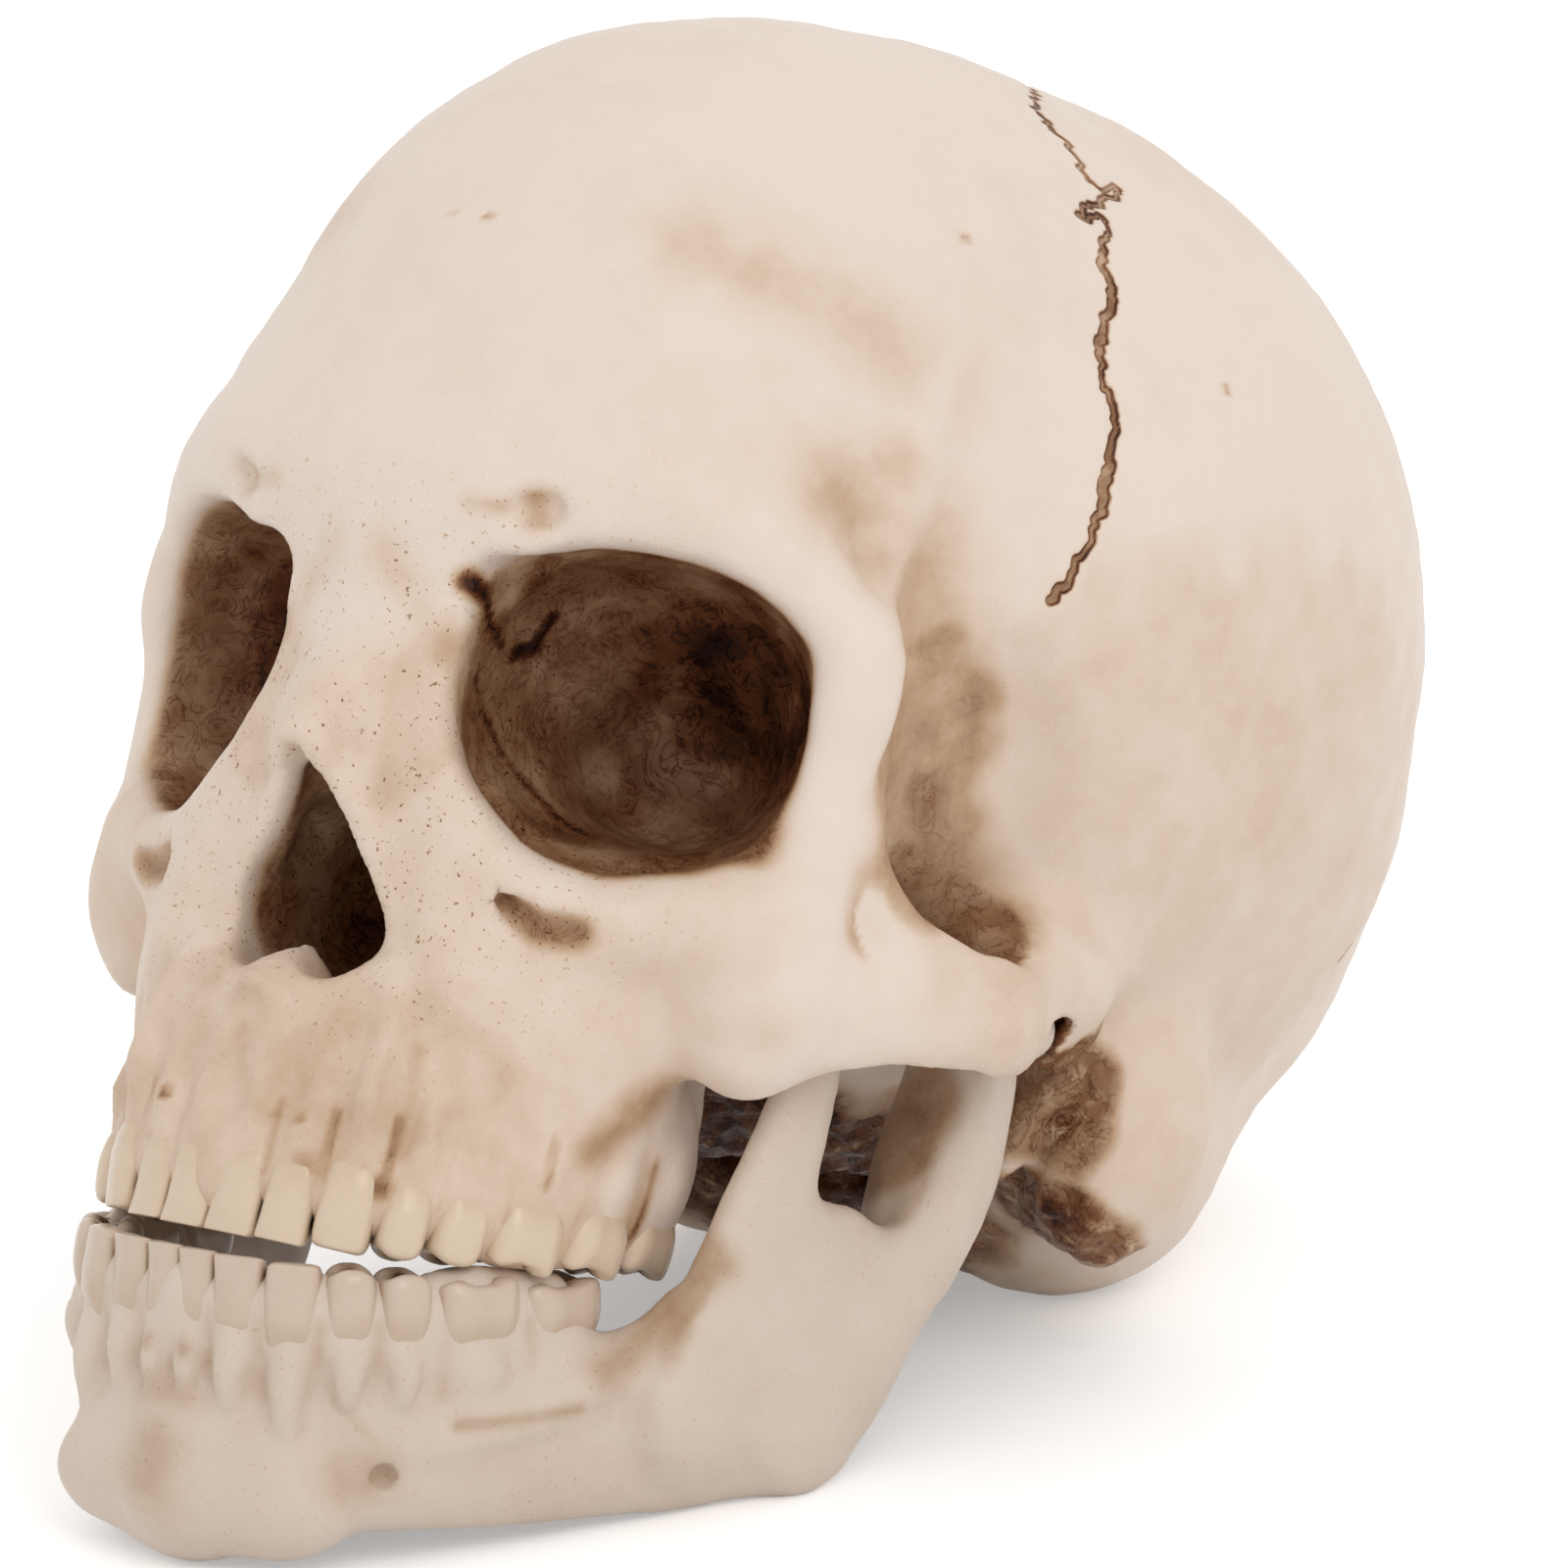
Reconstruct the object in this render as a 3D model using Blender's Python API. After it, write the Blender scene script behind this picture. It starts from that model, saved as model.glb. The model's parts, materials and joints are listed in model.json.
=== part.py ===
"""Life-size anatomical skull model: a hollow cranium with sixteen upper teeth, and a lower jaw with
fourteen lower teeth that swings on its two condyles. Metres, +Z up, the face towards -Y, the skull's
own left towards +X.

The cranium is modelled in its own frame: origin midway between the ear openings, eye-ear plane level.
The jaw is modelled in its own frame: origin on its base plane, straight below the hinge. Places in the
tables are shares of the named sizes of the piece that they belong to."""

import math

import bmesh
import bpy
from mathutils import Matrix, Vector

# Driving sizes of the cranium
CRANIUM_HALF_WIDTH = 0.070
CRANIUM_HALF_LENGTH = 0.090
CRANIUM_HALF_HEIGHT = 0.070
CRANIUM_WALL = 0.007
CRANIUM_PITCH = math.radians(17.94)
FORAMEN_WIDTH = 0.030
FORAMEN_LENGTH = 0.036

# Driving sizes of the face
ORBIT_HALF_WIDTH = 0.0193
ORBIT_HALF_HEIGHT = 0.0175
ORBIT_HALF_DEPTH = 0.025
ORBIT_TURN = math.radians(24)
NOSE_HALF_WIDTH = 0.0145
NOSE_HALF_HEIGHT = 0.0145
NOSE_DEPTH = 0.040
ARCH_THICKNESS = 0.0065

# Driving sizes of the jaw
JAW_LENGTH = 0.090
JAW_FRONT_HEIGHT = 0.0334
JAW_BODY_HEIGHT = 0.0240
JAW_BODY_THICKNESS = 0.0110
RAMUS_THICKNESS = 0.0080
CONDYLE_RADIUS = 0.0045
CONDYLE_LENGTH = 0.0150
HINGE_BEFORE_EAR = 0.018
HINGE_BELOW_EAR = 0.006
UNDERBITE = 0.00425

# Driving sizes of the teeth
UPPER_EDGE_BELOW_EAR = 0.053
UPPER_ROW_RISE = math.radians(11)
LOWER_ROW_DROP = math.radians(6.2)
TOOTH_DEPTH = 0.0080
CROWN_HEIGHT = 0.0090
ROOT_LENGTH = 0.0060
BITE_GAP = 0.0018

# Fits and mesh sizes
SEAT_GAP = 0.0003
CONDYLE_GAP = 0.0006
STAND_PITCH = math.radians(8.05)
STAND_RISE = -0.0085
STAND_SHIFT = -0.017715
VOXEL = 0.0022
JAW_VOXEL = 0.0018
ROOM_VOXEL = 0.005
FLOOR_BLOCK = 0.54
ROOM_FACET_SHARE = 0.25
CRANIUM_FACET_SHARE = 0.078
JAW_FACET_SHARE = 0.115
BLOB_DETAIL = 3
ROD_SIDES = 14
ROD_STEPS = 4
SOCKET_SIDES = 16
FORAMEN_SIDES = 28
ARCH_STEPS = 400
BLEND_PASSES = 8
RIM_PASSES = 2
ROOM_PASSES = 3
JAW_PASSES = 4
JAW_SWING = math.radians(20)
NECK_ROOM = 0.026
RAMUS_FLATNESS = 0.55
FORAMEN_REACH_SHARE = 0.5
LOWER_FRONT_SHARE = -0.985
LOWER_RIDGE_DROP_SHARE = 0.38
UPPER_RIDGE_DROP_SHARE = 0.55
LOWER_RIDGE_SHARE = 0.52
# The rows of teeth keep the skull's width and the jaw's length
UPPER_ARCH_HALF_WIDTH = 0.40 * CRANIUM_HALF_WIDTH
LOWER_ARCH_HALF_WIDTH = 0.364 * CRANIUM_HALF_WIDTH
UPPER_ARCH_DEPTH = 0.478 * JAW_LENGTH
LOWER_ARCH_DEPTH = 0.467 * JAW_LENGTH
UPPER_TOOTH_WIDTH = 0.0878 * JAW_LENGTH
LOWER_TOOTH_WIDTH = 0.09 * JAW_LENGTH

# Colour and roughness
LOOKS = {
    "ivory bone resin": ((0.76, 0.66, 0.55), 0.45),
    "pale bone resin": ((0.72, 0.63, 0.53), 0.45),
    "upper tooth resin": ((0.78, 0.66, 0.48), 0.30),
    "lower tooth resin": ((0.74, 0.65, 0.53), 0.32),
}

CRANIUM_SIZES = Vector((CRANIUM_HALF_WIDTH, CRANIUM_HALF_LENGTH, CRANIUM_HALF_HEIGHT))
HINGE_IN_CRANIUM = Vector((0, -HINGE_BEFORE_EAR, -HINGE_BELOW_EAR))
# The upper biting edge lies behind the lower one by the underbite once the cranium is pitched back
EDGE_BELOW_HINGE = UPPER_EDGE_BELOW_EAR - HINGE_BELOW_EAR
UPPER_FRONT = -LOWER_FRONT_SHARE * JAW_LENGTH - UNDERBITE
HINGE_BEHIND_FACE = (UPPER_FRONT - EDGE_BELOW_HINGE * math.sin(CRANIUM_PITCH)) / math.cos(CRANIUM_PITCH)
EDGE_DROP = EDGE_BELOW_HINGE * math.cos(CRANIUM_PITCH) - HINGE_BEHIND_FACE * math.sin(CRANIUM_PITCH)
HINGE_HEIGHT = JAW_FRONT_HEIGHT + BITE_GAP + EDGE_DROP


def empty(name, location, pitch=0, parent=None):
    node = bpy.data.objects.new(name, None)
    node.location = location
    node.rotation_euler.x = pitch
    node.parent = parent
    bpy.context.scene.collection.objects.link(node)
    return node


def material(name, colour, roughness):
    made = bpy.data.materials.new(name)
    made.use_nodes = True
    shader = made.node_tree.nodes["Principled BSDF"]
    shader.inputs["Base Color"].default_value = (*colour, 1)
    shader.inputs["Roughness"].default_value = roughness
    shader.inputs["Metallic"].default_value = 0
    return made


def solid(name, mesh_builder, parent, look=None, location=(0, 0, 0)):
    """One object from a bmesh builder. Without a look it is a cutter, which isn't part of the model."""
    bm = bmesh.new()
    mesh_builder(bm)
    bmesh.ops.recalc_face_normals(bm, faces=bm.faces)
    mesh = bpy.data.meshes.new(name)
    bm.to_mesh(mesh)
    bm.free()
    mesh.shade_smooth()
    body = bpy.data.objects.new(name, mesh)
    bpy.context.scene.collection.objects.link(body)
    body.parent = parent
    body.location = location
    if look is None:
        body.hide_render = True
        body.display_type = "WIRE"
    else:
        mesh.materials.append(look)
    return body


def scaled(shares, sizes):
    return Vector([share * size for share, size in zip(shares, sizes)])


def blob(bm, centre, radii, turn_z=0, turn_x=0, detail=BLOB_DETAIL):
    """An ellipsoid, turned about Z and tipped about X."""
    place = Matrix.Translation(centre) @ Matrix.Rotation(turn_z, 4, "Z") @ Matrix.Rotation(turn_x, 4, "X")
    size = Matrix.Diagonal((*radii, 1))
    bmesh.ops.create_icosphere(bm, subdivisions=detail, radius=1, matrix=place @ size)


def smooth_path(points, steps):
    """Points and radii along one Catmull-Rom curve through (Vector, radius) pairs."""
    rows = [(*point, radius) for point, radius in points]
    path = []
    for i in range(len(rows) - 1):
        before, start, end = rows[max(i - 1, 0)], rows[i], rows[i + 1]
        after = rows[min(i + 2, len(rows) - 1)]
        for step in range(steps):
            t = step / steps
            path.append([
                (2 * b + (c - a) * t + (2 * a - 5 * b + 4 * c - d) * t ** 2
                 + (3 * b - a - 3 * c + d) * t ** 3) / 2
                for a, b, c, d in zip(before, start, end, after)
            ])
    path.append(list(rows[-1]))
    return [(Vector(row[:3]), row[3]) for row in path]


def limb(bm, points, stretch=(1, 1, 1), sides=ROD_SIDES, steps=ROD_STEPS):
    """A round-ended rod along a smooth path, its section stretched along the axes."""
    stretch = Vector(stretch)
    squeezed = [(Vector([p / s for p, s in zip(point, stretch)]), radius) for point, radius in points]
    path = smooth_path(squeezed, steps)
    rings = []
    for i, (point, radius) in enumerate(path):
        along = (path[min(i + 1, len(path) - 1)][0] - path[max(i - 1, 0)][0]).normalized()
        side = along.cross(Vector((0, 0, 1)))
        side = side.normalized() if side.length > 0.1 else Vector((1, 0, 0))
        up = side.cross(along)
        ring = []
        for k in range(sides):
            angle = math.tau * k / sides
            corner = point + (side * math.cos(angle) + up * math.sin(angle)) * radius
            ring.append(bm.verts.new([c * s for c, s in zip(corner, stretch)]))
        rings.append(ring)
    for low, high in zip(rings, rings[1:]):
        for k in range(sides):
            bm.faces.new((low[k], low[(k + 1) % sides], high[(k + 1) % sides], high[k]))
    bm.faces.new(rings[0][::-1])
    bm.faces.new(rings[-1])
    for point, radius in (path[0], path[-1]):
        centre = [p * s for p, s in zip(point, stretch)]
        blob(bm, centre, [radius * s for s in stretch], detail=BLOB_DETAIL - 1)


def across(place, side):
    """The place itself, or its mirror image when side is -1."""
    return Vector((side * place[0], place[1], place[2]))


def modifier(body, name, kind, **settings):
    made = body.modifiers.new(name, kind)
    for key, value in settings.items():
        setattr(made, key, value)
    return made


def cut(body, cutter, solver="EXACT"):
    modifier(body, "cut " + cutter.name, "BOOLEAN", operation="DIFFERENCE", object=cutter, solver=solver)


def round_off(body, voxel, passes, name):
    modifier(body, "blend " + name, "REMESH", mode="VOXEL", voxel_size=voxel)
    modifier(body, "soften " + name, "SMOOTH", factor=0.5, iterations=passes)


# Cranium masses: centre shares, radius shares, both sides or not
CRANIUM_BLOB_SHARES = {
    "forehead": ((0, -0.41, 0.66), (0.75, 0.63, 0.875), False),
    "forehead to crown": ((0, -0.26, 0.67), (0.815, 0.73, 0.91), False),
    "middle vault": ((0, -0.10, 0.67), (0.895, 0.79, 0.95), False),
    "crown": ((0, 0.05, 0.66), (0.975, 0.84, 0.975), False),
    "crown to back": ((0, 0.24, 0.52), (0.89, 0.70, 0.85), False),
    "back": ((0, 0.42, 0.35), (0.75, 0.55, 0.69), False),
    "temples": ((0, 0.02, 0.20), (0.85, 0.57, 0.42), False),
    "temples to crown": ((0, 0.03, 0.42), (0.93, 0.68, 0.62), False),
    "nape": ((0.34, 0.40, -0.16), (0.30, 0.26, 0.29), True),
    "wing": ((0.53, -0.555, 0.115), (0.13, 0.135, 0.315), True),
    "joint roof": ((0.71, -0.18, 0.0), (0.15, 0.15, 0.13), True),
    "orbit wall": ((0.64, -0.63, 0.17), (0.10, 0.10, 0.27), True),
    "base": ((0, -0.11, -0.12), (0.48, 0.44, 0.22), False),
    "core": ((0, -0.56, 0.06), (0.38, 0.27, 0.35), False),
    "brow middle": ((0, -0.86, 0.51), (0.40, 0.17, 0.24), False),
    "brow shelf": ((0, -0.74, 0.60), (0.60, 0.25, 0.30), False),
    "nose root": ((0, -0.88, 0.26), (0.19, 0.11, 0.25), False),
    "nose floor": ((0, -0.915, -0.43), (0.22, 0.09, 0.17), False),
    "cheek": ((0.60, -0.65, -0.17), (0.17, 0.11, 0.17), True),
    "upper jaw": ((0.27, -0.72, -0.31), (0.24, 0.19, 0.30), True),
    "palate": ((0, -0.73, -0.43), (0.27, 0.24, 0.16), False),
    "mastoid": ((0.70, 0.14, -0.17), (0.135, 0.13, 0.24), True),
}

# Cranium rods: (centre shares, radius share of the arch thickness), stretch along Z, both sides or not
CRANIUM_ROD_SHARES = {
    "brow": (
        (((0.06, -0.97, 0.49), 0.85), ((0.23, -0.955, 0.54), 0.80), ((0.40, -0.91, 0.555), 0.80),
         ((0.58, -0.815, 0.51), 0.78), ((0.685, -0.725, 0.41), 0.75),
         ((0.715, -0.70, 0.31), 0.72)), 1, True),
    "orbit side": (
        (((0.71, -0.69, 0.37), 0.72), ((0.70, -0.68, 0.20), 0.72), ((0.69, -0.67, 0.03), 0.87),
         ((0.635, -0.68, -0.14), 1.0)), 1, True),
    "orbit floor": (
        (((0.17, -0.93, 0.07), 0.72), ((0.29, -0.90, -0.09), 0.80), ((0.45, -0.83, -0.13), 0.87),
         ((0.59, -0.73, -0.07), 1.0)), 1, True),
    "cheek arch": (
        (((0.655, -0.63, -0.20), 0.75), ((0.79, -0.51, -0.19), 0.64), ((0.87, -0.36, -0.135), 0.58),
         ((0.875, -0.21, -0.085), 0.58), ((0.85, -0.065, -0.035), 0.67),
         ((0.80, 0.045, 0), 0.67)), 1.8, True),
    "nose side": (
        (((0.11, -0.93, 0.34), 0.70), ((0.145, -0.93, 0.11), 0.78), ((0.205, -0.92, -0.09), 0.85),
         ((0.27, -0.90, -0.28), 0.93)), 1, True),
    "nose bridge": (
        (((0, -0.98, 0.37), 0.80), ((0, -0.975, 0.23), 0.78), ((0, -1.03, 0.07), 0.62)), 1, False),
    "palate wing": (
        (((0.185, -0.44, -0.11), 0.87), ((0.21, -0.41, -0.34), 0.72),
         ((0.225, -0.40, -0.48), 0.55)), 1, True),
}
TEMPLE_HOLLOW_SHARES = ((0.83, -0.47, 0.20), (0.13, 0.17, 0.27))
TEMPLE_HOLLOW_TURN = math.radians(12)
ORBIT_CENTRE_SHARES = (0.42, -0.80, 0.214)
ORBIT_TIP = math.radians(6)
ORBIT_APEX_SHARES = ((0.29, -0.58, 0.19), (0.65, 0.50, 0.62))
NOSE_CENTRE_SHARES = (0, -0.93, -0.13)
NOSE_LOBE_SHARES = (((0.03, 0, 0.68), 0.24), ((0.23, 0, 0.07), 0.42), ((0.42, 0, -0.42), 0.56))
PALATE_HOLLOW_SHARES = ((0, -0.62, -0.66), (0.25, 0.29, 0.17))
# The room inside: centre shares, and radius shares of the outer face that the wall lies within
BRAIN_ROOM_SHARES = (
    ((0, -0.34, 0.86), (0.70, 0.62, 0.52)),
    ((0, 0.12, 0.66), (0.975, 0.74, 0.975)),
    ((0, 0.40, 0.36), (0.76, 0.56, 0.70)),
)
FORAMEN_PLACE_SHARES = (0, 0.16, -0.20)

# Jaw masses: shares of the half width, the jaw length and the body height or the hinge height
BODY_ROD_SHARES = (
    ((0, -0.925, 0.51), 0.98), ((0.16, -0.905, 0.51), 0.98), ((0.295, -0.80, 0.53), 0.96),
    ((0.41, -0.64, 0.55), 0.96), ((0.515, -0.465, 0.58), 0.98), ((0.60, -0.33, 0.62), 0.93),
)
CHIN_SHARES = ((0, -0.955, 0.29), (0.20, 0.055, 0.29))
CHIN_CORNER_SHARES = ((0.20, -0.93, 0.19), (0.085, 0.055, 0.19))
RAMUS_BACK_SHARES = (((0.63, -0.29, 0.225), 1.85), ((0.67, -0.155, 0.42), 1.6), ((0.70, -0.04, 0.70), 1.35),
                     ((0.70, 0, 0.91), 1.1))
RAMUS_FRONT_SHARES = (((0.57, -0.495, 0.28), 2.1), ((0.605, -0.415, 0.59), 1.75),
                      ((0.625, -0.34, 0.87), 1.35), ((0.635, -0.305, 1.03), 0.87))
RAMUS_PLATE_SHARES = ((0.635, -0.265, 0.40), (0.065, 0.20, 0.28))
NECK_SHARES = ((0.70, -0.015, 0.85), (0.105, 0.044, 0.16))
CONDYLE_SPREAD_SHARE = 0.70
RIDGE_POINT_SHARES = (0, 0.2, 0.4, 0.6, 0.8, 1)

# Teeth, from the middle of the row back: kind, then shares of the row's tooth width, depth, crown and root
UPPER_TOOTH_SHARES = (
    ("incisor_1", "incisor", 1.08, 0.85, 1.10), ("incisor_2", "incisor", 0.86, 0.80, 1.02),
    ("canine", "canine", 1.00, 0.98, 1.10), ("premolar_1", "premolar", 0.88, 1.10, 0.90),
    ("premolar_2", "premolar", 0.86, 1.10, 0.85), ("molar_1", "molar", 1.24, 1.30, 0.80),
    ("molar_2", "molar", 1.16, 1.25, 0.78), ("molar_3", "molar", 0.98, 1.10, 0.72),
)
LOWER_TOOTH_SHARES = (
    ("incisor_1", "incisor", 0.68, 0.78, 0.95), ("incisor_2", "incisor", 0.76, 0.80, 0.95),
    ("canine", "canine", 0.88, 0.95, 1.05), ("premolar_1", "premolar", 0.90, 0.95, 0.90),
    ("premolar_2", "premolar", 0.92, 1.00, 0.82), ("molar_1", "molar", 1.38, 1.25, 0.74),
    ("molar_2", "molar", 1.32, 1.22, 0.70),
)
# Rings of a tooth: height share (the root below 0, the crown above), width share, depth share
RING_SHARES = {
    "incisor": ((-1, 0.40, 0.45), (0, 0.72, 0.86), (0.35, 0.92, 0.84), (0.75, 0.99, 0.52), (1, 0.94, 0.24)),
    "canine": ((-1, 0.42, 0.50), (0, 0.76, 0.96), (0.40, 0.97, 0.98), (0.75, 0.78, 0.66), (1, 0.22, 0.24)),
    "premolar": ((-1, 0.42, 0.50), (0, 0.74, 0.86), (0.40, 0.97, 0.98), (0.80, 0.88, 0.88), (1, 0.60, 0.60)),
    "molar": ((-1, 0.55, 0.60), (0, 0.82, 0.88), (0.40, 0.98, 0.98), (0.82, 0.95, 0.92), (1, 0.74, 0.70)),
}
ARCH_SQUARENESS = 2.7
TOOTH_SQUARENESS = 2.6
TOOTH_SIDES = 10
GUM_THICKNESS_SHARE = 0.52
GUM_STRETCH = 2.0
RIDGE_STRETCH = 2.2


def superellipse(angle, power):
    """A point of the unit superellipse."""
    c, s = math.cos(angle), math.sin(angle)
    return math.copysign(abs(c) ** (2 / power), c), math.copysign(abs(s) ** (2 / power), s)


def arch_place(distance, half_width, depth):
    """Where a walk along the tooth row ends: sideways, behind the front, and the heading there."""
    here, walked, heading = Vector((0, 0)), 0, 0
    for step in range(1, ARCH_STEPS + 1):
        c, s = superellipse(math.pi / 2 * step / ARCH_STEPS, ARCH_SQUARENESS)
        there = Vector((half_width * s, depth * (1 - c)))
        stride = (there - here).length
        heading = math.atan2(there.y - here.y, there.x - here.x)
        if walked + stride >= distance:
            return here + (there - here) * ((distance - walked) / stride), heading
        here, walked = there, walked + stride
    return here + Vector((0, distance - walked)), math.pi / 2


def tooth_mesh(bm, kind, width, depth, crown, root, grow):
    """A crown on a root, crown towards +Z and neck at the origin, its lip side towards -Y."""
    rings = []
    for height, wide, deep in RING_SHARES[kind]:
        z = height * crown + grow if height > 0 else height * root - (grow if height < 0 else 0)
        ring = []
        for k in range(TOOTH_SIDES):
            c, s = superellipse(math.tau * (k + 0.5) / TOOTH_SIDES, TOOTH_SQUARENESS)
            ring.append(bm.verts.new((c * (wide * width / 2 + grow), s * (deep * depth / 2 + grow), z)))
        rings.append(ring)
    for low, high in zip(rings, rings[1:]):
        for k in range(TOOTH_SIDES):
            bm.faces.new((low[k], low[(k + 1) % TOOTH_SIDES], high[(k + 1) % TOOTH_SIDES], high[k]))
    bm.faces.new(rings[0][::-1])
    bm.faces.new(rings[-1])


class Row:
    """One row of teeth: where its edge runs, and the bone that carries it."""

    def __init__(self, name, shares, width, arch, front, edge, slope, up, parent, origin):
        self.name, self.shares, self.width, self.arch = name, shares, width, arch
        self.front, self.edge, self.slope, self.up = front, edge, slope, up
        self.parent, self.origin = parent, origin

    def edge_at(self, behind):
        """Height of the biting edge at a distance behind the front."""
        return self.edge + behind * math.tan(self.slope)

    def length(self):
        return sum(shares[2] for shares in self.shares) * self.width

    def place(self, distance, side):
        spot, heading = arch_place(distance, *self.arch)
        return Vector((side * spot.x, self.front + spot.y, self.edge_at(spot.y))), side * heading

    def teeth(self):
        """Name, kind, sizes and place of each tooth on both sides."""
        for side_name, side in (("left", 1), ("right", -1)):
            distance = 0
            for label, kind, wide, deep, high in self.shares:
                width = wide * self.width
                spot, heading = self.place(distance + width / 2, side)
                distance += width
                sizes = (width - SEAT_GAP, deep * TOOTH_DEPTH, high * CROWN_HEIGHT, ROOT_LENGTH)
                neck = spot - Vector((0, 0, self.up * sizes[2]))
                yield f"{self.name}_{side_name}_{label}", kind, sizes, neck, heading

    def add_teeth(self, bone, look):
        for name, kind, sizes, neck, heading in self.teeth():
            for grow, part_look in ((0, look), (SEAT_GAP, None)):
                body = solid(
                    name if part_look else name + "_socket",
                    lambda bm: tooth_mesh(bm, kind, *sizes, grow),
                    self.parent, part_look, self.origin + neck,
                )
                flip = 0 if self.up > 0 else math.pi
                body.rotation_euler = (0, flip, heading)
                if part_look is None:
                    # Neighbouring sockets run into each other, where the exact solver drops the bone
                    cut(bone, body, "MANIFOLD")

    def ridge(self, bm, side, drop, radius, stretch):
        """The bone that carries the row, on one side."""
        points = []
        for share in RIDGE_POINT_SHARES:
            spot, _ = self.place(share * self.length(), side)
            points.append((spot - Vector((0, 0, self.up * drop)), radius))
        limb(bm, points, (1, 1, stretch))


def cranium_masses(bm, row):
    for centre, radii, paired in CRANIUM_BLOB_SHARES.values():
        for side in (1, -1) if paired else (1,):
            blob(bm, across(scaled(centre, CRANIUM_SIZES), side), scaled(radii, CRANIUM_SIZES))
    for points, stretch, paired in CRANIUM_ROD_SHARES.values():
        for side in (1, -1) if paired else (1,):
            path = [
                (across(scaled(centre, CRANIUM_SIZES), side), radius * ARCH_THICKNESS)
                for centre, radius in points
            ]
            limb(bm, path, (1, 1, stretch))
    gum = GUM_THICKNESS_SHARE * TOOTH_DEPTH
    for side in (1, -1):
        row.ridge(bm, side, UPPER_RIDGE_DROP_SHARE * CROWN_HEIGHT + gum * GUM_STRETCH, gum, GUM_STRETCH)


def face_hollows(bm):
    for side in (1, -1):
        orbit, apex, temple = [
            across(scaled(shares, CRANIUM_SIZES), side)
            for shares in (ORBIT_CENTRE_SHARES, ORBIT_APEX_SHARES[0], TEMPLE_HOLLOW_SHARES[0])
        ]
        orbit_sizes = Vector((ORBIT_HALF_WIDTH, ORBIT_HALF_DEPTH, ORBIT_HALF_HEIGHT))
        blob(bm, orbit, orbit_sizes, side * ORBIT_TURN, ORBIT_TIP)
        blob(bm, apex, scaled(ORBIT_APEX_SHARES[1], orbit_sizes), side * ORBIT_TURN)
        blob(bm, temple, scaled(TEMPLE_HOLLOW_SHARES[1], CRANIUM_SIZES), side * TEMPLE_HOLLOW_TURN)
        nose_sizes = Vector((NOSE_HALF_WIDTH, NOSE_DEPTH, NOSE_HALF_HEIGHT))
        lobes = []
        for centre, radius in NOSE_LOBE_SHARES:
            spot = scaled(NOSE_CENTRE_SHARES, CRANIUM_SIZES) + across(scaled(centre, nose_sizes), side)
            lobes.append((spot, radius * NOSE_HALF_WIDTH))
        limb(bm, lobes, (1, NOSE_DEPTH / NOSE_HALF_WIDTH, 1))
    hollow = PALATE_HOLLOW_SHARES
    blob(bm, scaled(hollow[0], CRANIUM_SIZES), scaled(hollow[1], CRANIUM_SIZES))


def brain_room_mesh(bm):
    for centre, radii in BRAIN_ROOM_SHARES:
        wall = Vector((CRANIUM_WALL, CRANIUM_WALL, CRANIUM_WALL))
        blob(bm, scaled(centre, CRANIUM_SIZES), scaled(radii, CRANIUM_SIZES) - wall)


def joint_room(bm, side):
    """The space that a condyle and its neck sweep: round the hinge, then a fan down and back."""
    radius = CONDYLE_RADIUS + CONDYLE_GAP
    reach = CONDYLE_LENGTH / 2 + CONDYLE_GAP
    middle = Vector((side * CONDYLE_SPREAD_SHARE * CRANIUM_HALF_WIDTH, 0, 0)) + HINGE_IN_CRANIUM
    spots = [Vector((0, 0, 0))]
    for swing in (0, JAW_SWING / 2, JAW_SWING):
        angle = CRANIUM_PITCH + swing
        spots.append(Vector((0, math.sin(angle), -math.cos(angle))) * NECK_ROOM)
    corners = []
    for spot in spots:
        for k in range(SOCKET_SIDES):
            angle = math.tau * k / SOCKET_SIDES
            ring = Vector((0, math.cos(angle), math.sin(angle))) * radius
            for end in (-reach, reach):
                corners.append(bm.verts.new(middle + spot + ring + Vector((end, 0, 0))))
    found = bmesh.ops.convex_hull(bm, input=corners)
    bmesh.ops.delete(bm, geom=[v for v in found["geom_interior"] if isinstance(v, bmesh.types.BMVert)])


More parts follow.
